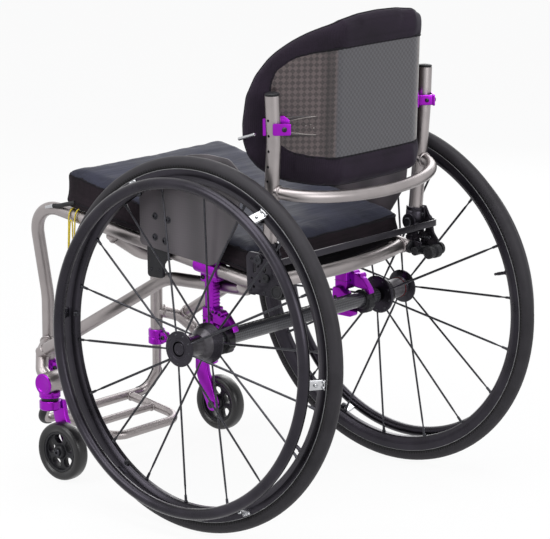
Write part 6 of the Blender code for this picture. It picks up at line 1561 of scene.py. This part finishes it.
class MakeBackPosts(Operator):
    """Makes the back posts with their holes, a dark cup of painted shade in each, and plugs, the bowed push bar
    and the post sockets
    """

    bl_idname = "wheelchair.make_back_posts"
    bl_label = "Back posts and push bar"

    def execute(self, context):
        radius = sizes().back_tube / 2
        route = post_route()
        posts, cups = [], []
        for side in (1, -1):
            post = pipe([(side * p.x, p.y, p.z) for p in route], radius, sides=32)
            for z in (0.577, 0.600, 0.625, 0.6495, 0.674):
                face = post_at(z)
                face.x = side * (face.x + radius)
                place = aim(face, face + Vector((side, 0.05, 0)))
                drill = turned([(0, -0.003), (0.00235, -0.003), (0.00235, 0.002), (0, 0.002)], steps=20)
                carve(post, put(drill, place))
                # Painted shade: a dark cup sits in each hole, where the hollow tube's shaded inside would show
                cup = turned([(0, -0.0028), (0.0018, -0.0028), (0.0020, -0.0010), (0.00235, -0.0010),
                              (0.00235, -0.0028)], steps=20)
                cups.append(put(cup, place))
            posts.append(post)
        bow = []
        for i in range(49):
            turn = math.pi * i / 48
            across, out = math.cos(turn), math.sin(turn)
            bow.append((0.186 * across, 0.1165 + 0.083 * out, 0.5605 - 0.0155 * out))
        bar = pipe(bow, 0.0099, sides=TUBE_SIDES)
        beads = [weld((side * 0.1852, 0.1262, 0.5580), (side * 0.178, 0.150, 0.555), 0.0103, 0.0018)
                 for side in (1, -1)]
        seat(joined(*posts, bar, *beads), "back_tubes", "backrest",
             finish_of(bead_blasted_titanium), ["back_frame"])
        top, below = Vector(route[-1]), Vector(route[-2])
        ahead = (top - below).normalized()
        profile = [(0, 0.0048), (0.0085, 0.0048), (0.0100, 0.0040)]
        for i in range(3):
            rib = ((0.0112, 0.0036), (0.0116, 0.0033), (0.0112, 0.0029))
            profile += [(r, h - i * 0.0012) for r, h in rib]
        plug = turned([*profile, (0.0112, 0.0001), (0, 0.0001)], steps=36)
        seat_pair(put(plug, aim(top, top + ahead)), "post_plug_side", "backrest",
                  finish_of(black_moulded_nylon))

        for word, side in SIDES.items():
            foot = Vector((side * POST_FOOT[0], *POST_FOOT[1:]))
            start, end = foot + Vector((0, 0.0158, -0.0100)), foot + Vector((0, 0.05, -0.0130))
            # The hole cups, painted shade, are finished in black oxide steel together with the socket's bolt
            mine = cups[:5] if side > 0 else cups[5:]
            seat(joined(*mine, bolt(start, end, 0.0034, 0.002)), f"post_holes_{word}", "backrest",
                 finish_of(black_oxide_steel))

        foot = Vector(POST_FOOT)
        along = (post_at(0.560) - foot).normalized()
        sleeve = turned([(0, -0.022), (0.0140, -0.022), (0.0155, -0.0205), (0.0155, -0.0050), (0.0150, -0.0042),
                         (0.0155, -0.0034), (0.0155, 0.0012), (0.0146, 0.0022), (0.0119, 0.0022)], steps=56)
        sleeve = put(sleeve, aim(foot, foot + along))
        lug = turned([(0.0043, 0.170), (0.0130, 0.170), (0.0140, 0.171), (0.0140, 0.2003), (0.0130, 0.2013),
                      (0.0043, 0.2013)], closed=True)
        lug = put(lug, outboard(1, 0, HINGE_Y, HINGE_Z))
        slit = block((0.1852, 0.1185, 0.458), (0.1868, 0.1262, 0.4778), edge=0.0003)
        gusset = [(0.0980, 0.4790), (0.1205, 0.4780), (0.1315, 0.4575), (0.1315, 0.4430), (0.0980, 0.4430)]
        gusset = slab(gusset, 0.002, 0.0055, 0.1955, edge=0.001)
        seat_pair(joined(sleeve, lug, slit, gusset), "post_socket_cup_side", "backrest",
                  finish_of(black_anodised_aluminium), ["post_socket_side"])
        return {"FINISHED"}


class MakeBackShell(Operator):
    """Makes the curved carbon shell, its moulded ridges, pale as a painted highlight, with dark arms beside them
    as a painted shadow, and the purple brackets that hold it
    """

    bl_idname = "wheelchair.make_back_shell"
    bl_label = "Back shell and brackets"

    def execute(self, context):
        deselect()
        bpy.ops.mesh.primitive_grid_add(x_subdivisions=110, y_subdivisions=44, size=2)
        shell = context.object
        uvs = shell.data.uv_layers.active
        spots = []
        for vert in shell.data.vertices:
            across, up = squircle(vert.co.x, vert.co.y, 4.0)
            s, z = across * 0.2065, BACK_Z + up * (0.087 if vert.co.y >= 0 else 0.086)
            spots.append((s, z))
            vert.co = back_point(s, z, 0.0)
        for loop in shell.data.loops:
            uvs.data[loop.index].uv = spots[loop.vertex_index]
        edit(shell)
        bpy.ops.mesh.flip_normals()
        close(shell)
        toward_rear = sum(face.normal.y for face in shell.data.polygons) > 0
        apply_modifier(shell, "SOLIDIFY", thickness=0.003, offset=-1.0 if toward_rear else 1.0)
        seat(shell, "back_shell_carbon", "backrest", finish_of(carbon_shell), ["back_shell"], smooth=50)

        # The ridges are painted pale as a painted highlight along them, and the arms beside them dark as a painted
        # shadow
        ridges, arms = [], []
        for start, finish, sign in ((0.0078, 0.0140, 1), (-0.0100, -0.0150, -1)):
            line, beside, shares, taper = [], [], [], []
            for i in range(19):
                t = i / 18
                z = BRACKET_Z + start + (finish - start) * math.sin(t * math.pi / 2)
                line.append(back_point(0.178 - 0.045 * t, z, -0.0004))
                beside.append(back_point(0.182 - 0.050 * t, z + sign * 0.0032 * (1 - t), 0.0004))
                shares.append(0.35 + 0.65 * math.sin(math.pi * min(1.0, t * 0.9 + 0.1)))
                taper.append(1.0 - 0.85 * t)
            ridges.append(pipe(line, 0.0014, sides=10, radii=shares))
            arms.append(pipe(beside, 0.0036, sides=16, radii=taper))
        # Three small pale cones in the weave between the ridges: painted highlights
        for s, z in ((0.1505, 0.6600), (0.1430, 0.6612), (0.1380, 0.6560)):
            spot = back_point(s, z, 0.0)
            ridges.append(put(turned([(0, 0.0016), (0.0014, 0.0012), (0.0024, -0.0004)], steps=4),
                              aim(spot, spot + Vector((0.7, 0.7, 0)))))
        seat_pair(joined(*ridges), "shell_ridges_side", "backrest",
                  finish_of(plain_accent, "pressed_resin", "#6E6866", "#8E8986", 0.6, (0.2, 0.32)))

        seat_pair(joined(*arms), "shell_arms_side", "backrest",
                  finish_of(plain_accent, "dark_pressed_resin", "#2B2729", "#3B3638", 0.3, (0.3, 0.42)))

        purple = finish_of(purple_anodised_aluminium)
        middle = post_at(BRACKET_Z)
        lie = Matrix(((-DIAGONAL, 0, DIAGONAL, 0), (DIAGONAL, 0, DIAGONAL, 0), (0, 1, 0, 0), (0, 0, 0, 1)))
        clamp = []
        for outline, bend, depth, thick in (
            ([(-0.0020, -0.0095), (0.0268, -0.0095), (0.0268, 0.0095), (-0.0020, 0.0095)], 0.003, 0.0136, 0.0036),
            ([(-0.0158, -0.0140), (0.0268, -0.0120), (0.0268, 0.0105), (0.0175, 0.0175), (0.0130, 0.0175),
              (0.0080, 0.0140), (-0.0158, 0.0140)], 0.002, -0.0137, 0.0040),
            ([(0.0122, -0.0085), (0.0248, -0.0085), (0.0248, 0.0085), (0.0122, 0.0085)], 0.002, 0.0, 0.026),
            ([(0.0100, -0.0100), (0.0265, -0.0100), (0.0265, 0.0100), (0.0100, 0.0100)], 0.002, -0.0178, 0.0056),
        ):
            piece = plate(rounded(outline, bend, closed=True), thick, edge=0.0009)
            clamp.append(put(piece, Matrix.Translation(middle) @ lie @ Matrix.Translation((0, 0, depth))))
        seat_pair(joined(*clamp), "shell_bracket_clamp_side", "backrest", purple,
                  ["shell_bracket_side"], smooth=30)
        head = middle + lie.to_3x3() @ Vector((0.0164, 0, 0.0154))
        screws = [bolt(head, head + Vector((1, 1, 0)), 0.0042, 0.0022)]
        side_head = middle + lie.to_3x3() @ Vector((0.0268, 0, 0.002))
        screws.append(bolt(side_head, side_head + Vector((-1, 1, 0)), 0.0034, 0.0018))
        seat_bolts("shell_bracket_bolts_side", "backrest", *screws)
        return {"FINISHED"}


# ---------------------------------------------------------------- soft pieces and guards


def copy_of(node):
    """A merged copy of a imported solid's mesh, to swell or carve."""
    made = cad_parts[node].copy()
    made.data = made.data.copy()
    for key in list(made.keys()):
        if key.startswith("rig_"):
            del made[key]
    bpy.context.scene.collection.objects.link(made)
    made.parent = None
    made.matrix_world = Matrix.Identity(4)
    made.hide_render = made.hide_viewport = False
    made.modifiers.clear()
    made.data.materials.clear()
    edit(made)
    bpy.ops.mesh.remove_doubles(threshold=1e-5)
    bpy.ops.mesh.normals_make_consistent(inside=False)
    return close(made)


def swollen(obj, voxel, pressure, cap, held):
    """Remeshes a pad and lets its cover swell as cloth, no point further than cap or where it is held."""
    apply_modifier(obj, "REMESH", mode="VOXEL", voxel_size=voxel, use_smooth_shade=True)
    rest = [vert.co.copy() for vert in obj.data.vertices]
    cover = obj.modifiers.new("cover", "CLOTH")
    cover.settings.use_pressure = True
    cover.settings.uniform_pressure_force = pressure
    cover.settings.effector_weights.gravity = 0
    cover.settings.quality = 4
    cover.settings.mass = 0.3
    cover.settings.tension_stiffness = 18
    cover.settings.compression_stiffness = 18
    cover.point_cache.frame_start = 1
    cover.point_cache.frame_end = 20
    for step in range(1, 21):
        bpy.context.scene.frame_set(step)
    choose(obj)
    bpy.ops.object.modifier_apply(modifier=cover.name)
    bpy.context.scene.frame_set(1)
    for vert, start in zip(obj.data.vertices, rest):
        move = vert.co - start
        share = held(start)
        vert.co = start + move * min(1.0, cap / max(move.length, 1e-9)) * share
    return obj


def on_back(point):
    """How far round the back shell a place is, and how far in front of the shell's rear face."""
    radius, wing = 0.045, math.radians(45)
    bend_start = 0.107 - radius * math.tan(wing / 2)
    x = abs(point.x)
    y = point.y - AXLE_Y - 0.176 - 0.04 * (point.z - BACK_Z)
    if x <= bend_start:
        return x, -y
    dx, dy = x - bend_start, y + radius
    turn = math.atan2(dx, dy)
    if turn <= wing:
        return bend_start + radius * turn, radius - math.hypot(dx, dy)
    along = dx * math.cos(wing) - dy * math.sin(wing)
    away = dx * math.sin(wing) + dy * math.cos(wing) - radius
    return bend_start + radius * wing + along, -away


class MakeBackPad(Operator):
    """Swells the back pad's knitted cover and sews its binding and seams"""

    bl_idname = "wheelchair.make_back_pad"
    bl_label = "Back pad"

    def execute(self, context):
        def held(point):
            s, depth = on_back(point)
            outside = (s / 0.207) ** 4 + (abs(point.z - BACK_Z) / 0.0865) ** 4
            front = min(max((depth - 0.006) / 0.012, 0.0), 1.0)
            border = min(max((outside - 1.2) / 0.8, 0.0), 1.0)
            if s > 0.17 and 0.55 < point.z < 0.74 and depth < 0.012:
                border = 0.0
            return max(front, 0.7 * border)

        pad = swollen(copy_of("back_pad"), 0.005, 4.0, sizes().back_swell, held)
        for vert in pad.data.vertices:
            s, depth = on_back(vert.co)
            if depth < 0.014:
                continue
            place = Vector((vert.co.x * 9, vert.co.z * 14, 3.0))
            crease = abs(noise.noise(place)) * 0.5 + abs(noise.noise(place * 2.3)) * 0.25
            vert.co.y += 0.0022 * crease
        apply_modifier(pad, "SUBSURF", levels=1, render_levels=1)
        seat(pad, "back_pad_cover", "backrest", finish_of(stretch_knit), ["back_pad"], smooth=60,
             from_axle=False)

        behind = Vector((0, AXLE_Y, 0))
        loop = [back_point(across * 0.2085, BACK_Z + up * (0.0885 if upper else 0.0875), 0.0006) + behind
                for upper, across, up in round_loop(420, 4.0)]
        shares = [1.0 if i % 3 else 0.72 for i in range(len(loop))]
        binding = pipe(loop, 0.0021, sides=10, closed=True, radii=shares)
        loop = [back_point(across * 0.2497, 0.6645 + up * (0.1692 if upper else 0.1092), 0.0085) + behind
                for upper, across, up in round_loop(240, 2.3, 3.0)]
        seam = pipe(laid_on(pad, loop, 0.0002), 0.0012, sides=8, closed=True)
        seat(joined(binding, seam), "back_pad_binding", "backrest", finish_of(seam_thread),
             smooth=60, from_axle=False)
        rod = [(0, 0), (0.0022, 0), (0.0027, 0.0006), (0.0027, 0.0354), (0.0022, 0.036), (0, 0.036)]
        rod = put(turned(rod, steps=20), aim((0.2085, 0.0980, 0.6512), (0.2085, 0.0640, 0.6403)))
        seat_pair(rod, "strap_pin_side", "backrest", finish_of(satin_steel))
        return {"FINISHED"}


class MakeSeatCushion(Operator):
    """Swells the seat cushion's cover, creases its top and sews its edge seams"""

    bl_idname = "wheelchair.make_seat_cushion"
    bl_label = "Seat cushion"

    def execute(self, context):
        front, rear, run = -0.345, 0.070, 0.415

        def thick(y):
            """41 mm at the rear, so that the folded back clears it, and 66 mm at the front."""
            return 0.041 + 0.025 * (rear - y) / run

        def rise(point):
            """How high a point is over the rails' tops."""
            return point.z - rail_z(point.y - AXLE_Y) - RAIL_RADIUS

        def held(point):
            return min(max((rise(point) - 0.012) / 0.015, 0.0), 1.0)

        cushion = block((-0.1955, front, 0), (0.1955, rear, 0.060), edge=0.011, segments=4)
        for vert in cushion.data.vertices:
            y = vert.co.y
            vert.co = (vert.co.x, y + AXLE_Y, vert.co.z / 0.060 * thick(y) + rail_z(y) + RAIL_RADIUS)
        cushion = swollen(cushion, 0.006, 4.0, sizes().seat_swell, held)
        for vert in cushion.data.vertices:
            x, y = vert.co.x, vert.co.y - AXLE_Y
            high = rise(vert.co)
            edge = max(abs(x) / 0.2, abs(y - CUSHION_Y) / 0.2105)
            near = min(max((edge - 0.76) / 0.2, 0.0), 1.0)
            if high < thick(y) - 0.012:
                crease = noise.noise(Vector((x * 14, y * 14, high * 60)))
                crease *= min(1.0, max(0.0, high - 0.008) / 0.02)
                along = y - CUSHION_Y
                way = Vector((x if abs(x) > 0.185 else 0, along if abs(along) > 0.2 else 0, 0))
                vert.co += way.normalized() * (0.0014 * crease - 0.0008)
                continue
            fold = noise.noise(Vector((x * 7, y * 38, 1.0))) * 0.6
            fold += noise.noise(Vector((x * 15, y * 95, 4.0))) * 0.45
            ruck = noise.noise(Vector((x * 40, y * 55, 7.0)))
            vert.co.z += 0.0019 * fold * (1.1 - 0.4 * near) + 0.0022 * ruck * near
        apply_modifier(cushion, "SUBSURF", levels=1, render_levels=1)
        seat(cushion, "seat_cushion_cover", "frame", finish_of(cushion_nylon), ["seat_cushion"],
             smooth=60, from_axle=False)
        # Painted shade: every face that turns away from the top (normal Z under 0.45) takes the darker copy of the
        # nylon
        paint(cushion, finish_of(painted_shade_cushion_sides), lambda f: f.normal.z < 0.45)

        seams = []
        for share in (0.94, 0.2):
            loop = []
            for _, across, along in round_loop(320, 14.0):
                y = CUSHION_Y + along * 0.216
                loop.append(Vector((across * 0.204, y + AXLE_Y, rail_z(y) + RAIL_RADIUS + share * thick(y))))
            seams.append(pipe(laid_on(cushion, loop, 0.0002), 0.0012, sides=8, closed=True))
        line = smooth_line([(0.190, 0.076, 0.452), (0.0475, 0.076, 0.456), (-0.1138, 0.076, 0.4598),
                            (-0.190, 0.076, 0.4690)], 40)
        line = [Vector(point) + Vector((0, AXLE_Y, 0)) for point in line]
        seams.append(pipe(laid_on(cushion, line, 0.0002), 0.0012, sides=8))
        for side in (1, -1):
            line = []
            for i in range(12):
                z = rail_z(front) + RAIL_RADIUS + 0.013 + 0.047 * i / 11
                line.append(Vector((side * 0.2, -0.35 + AXLE_Y, z)))
            seams.append(pipe(laid_on(cushion, line, 0.0002), 0.0012, sides=8))
        seat(joined(*seams), "seat_cushion_seams", "frame", finish_of(seam_thread), smooth=60,
             from_axle=False)
        return {"FINISHED"}


class MakeSeatSling(Operator):
    """Stretches the sling between the seat rails and hems its ends"""

    bl_idname = "wheelchair.make_seat_sling"
    bl_label = "Seat sling"

    def execute(self, context):
        deselect()
        bpy.ops.mesh.primitive_grid_add(x_subdivisions=40, y_subdivisions=48, size=2)
        sling = context.object
        level = RAIL_RADIUS + 0.0003
        inset = (level ** 2 - 0.003 ** 2) ** 0.5

        def spot(u, v):
            y = -0.375 + 0.437 * (v + 1) / 2
            half = rail_x(y) - inset
            sag = 0.014 * max(0.0, 1 - (u * half / 0.1791) ** 2)
            return Vector((u * half, y, rail_z(y) + 0.006 - sag))

        for vert in sling.data.vertices:
            vert.co = spot(vert.co.x, vert.co.y)
        apply_modifier(sling, "SOLIDIFY", thickness=0.0028, offset=-1.0)
        clamp = (0.160, -0.045, 0.005)
        mount = (guard_mount_x(), *GUARD_MOUNT_Y)
        for x, front, rear in (clamp, mount):
            for side in (1, -1):
                xs = sorted((side * (x - 0.0018), side * 0.23))
                cutter = block((xs[0], front - 0.0018, 0.36), (xs[1], rear + 0.0018, 0.50), edge=0.0005)
                carve(sling, cutter)
        seat(sling, "seat_sling_cloth", "frame", finish_of(sling_nylon), ["seat_sling"], smooth=50)
        hems = []
        for v in (-0.985, 0.985):
            line = [spot(u / 12 * 0.98, v) + Vector((0, 0, -0.0012)) for u in range(-12, 13)]
            hems.append(pipe(line, 0.0026, sides=10))
        for v in (-0.90, 0.90):
            line = [spot(u / 12 * 0.97, v) + Vector((0, 0, 0.0001)) for u in range(-12, 13)]
            hems.append(pipe(line, 0.0006, sides=6))
        seat(joined(*hems), "seat_sling_hems", "frame", finish_of(seam_thread), smooth=60)
        return {"FINISHED"}


class MakeSideGuards(Operator):
    """Makes the side guards, the blocks on the rails that hold them, and their bolts"""

    bl_idname = "wheelchair.make_side_guards"
    bl_label = "Side guards and mounts"

    def execute(self, context):
        outline = [(-0.150, 0.445), (0.0135, 0.428), (0.064, 0.503), (0.073, 0.586), (0.048, 0.607),
                   (0.001, 0.610), (-0.035, 0.6055), (-0.070, 0.5955), (-0.110, 0.578), (-0.150, 0.552)]
        bends = [0.008, 0.03, 0.04, 0.02, 0.02, 0.08, 0.1, 0.1, 0.1, 0.012]
        guard = plate(rounded(outline, bends, closed=True, step=math.radians(6)), 0.003, edge=0.0008)
        guard = fore_aft(guard, 0.213)
        seat_pair(guard, "side_guard_panel_side", "frame", finish_of(guard_carbon), ["side_guard_side"])
        front, rear = GUARD_MOUNT_Y
        back = [(front, 0.392), (front, 0.498), (-0.092, 0.498), (-0.092, 0.4300), (rear, 0.4150), (rear, 0.392)]
        back = slab(back, 0.006, 0.0075, 0.20745, edge=0.0012)
        inner, outer = guard_mount_x(), 0.2045
        hold = [(front, 0.4185), (front, 0.4455), (rear, 0.4455), (rear, 0.4185)]
        hold = slab(hold, 0.005, outer - inner, (inner + outer) / 2, edge=0.0016)
        seat_pair(joined(back, hold), "guard_mount_block_side", "frame",
                  finish_of(black_moulded_nylon), ["guard_mount_side"])
        screws = []
        for y, z in ((-0.1151, 0.4956), (-0.0863, 0.4927), (-0.1161, 0.4607), (-0.0939, 0.4570)):
            washer = [(0, 0.0008), (0.0055, 0.0008), (0.0060, 0.0004), (0.0060, -0.0005), (0, -0.0005)]
            screws.append(put(turned(washer, steps=28), outboard(1, 0.2145, y, z)))
            screws.append(cross_bolt(0.2152, y, z, 0.0042, 0.0024))
        for y, z in ((-0.130, 0.4050), (-0.112, 0.4050)):
            screws.append(cross_bolt(0.2112, y, z, 0.0030, 0.0016))
        seat_bolts("side_guard_bolts_side", "frame", *screws)
        return {"FINISHED"}


OPERATORS = (
    MakeStage,
    MakeCordAndHose,
    MakeSeatTubes,
    MakeLowerFrame,
    MakeCrossTubes,
    MakeCastors,
    MakeTyresAndRims,
    MakeHubsAndSpokes,
    MakePushRings,
    MakeAxleBrackets,
    MakeCamberTube,
    MakeFootrest,
    MakeBackHinges,
    MakeBackPosts,
    MakeBackShell,
    MakeBackPad,
    MakeSeatCushion,
    MakeSeatSling,
    MakeSideGuards,
)


# ---------------------------------------------------------------- panel and run


class ChairPanel(Panel):
    """Lists the chair's pieces in the sidebar"""

    bl_idname = "VIEW3D_PT_titanium_wheelchair"
    bl_label = "Titanium wheelchair"
    bl_space_type = "VIEW_3D"
    bl_region_type = "UI"
    bl_category = "Wheelchair"

    def draw(self, context):
        layout = self.layout
        for values in (context.scene.chair_sizes, context.scene.chair_colours):
            box = layout.box()
            for name in values.__annotations__:
                box.prop(values, name)
        for make in OPERATORS:
            layout.operator(make.bl_idname)


def register():
    for kind in (ChairColours, ChairSizes, *OPERATORS, ChairPanel):
        bpy.utils.register_class(kind)
    bpy.types.Scene.chair_colours = PointerProperty(type=ChairColours)
    bpy.types.Scene.chair_sizes = PointerProperty(type=ChairSizes)


def unregister():
    del bpy.types.Scene.chair_sizes
    del bpy.types.Scene.chair_colours
    for kind in reversed((ChairColours, ChairSizes, *OPERATORS, ChairPanel)):
        bpy.utils.unregister_class(kind)


def main():
    register()
    for make in OPERATORS:
        getattr(bpy.ops.wheelchair, make.bl_idname.partition(".")[2])()
    bpy.context.view_layer.update()


if __name__ == "__main__":
    main()
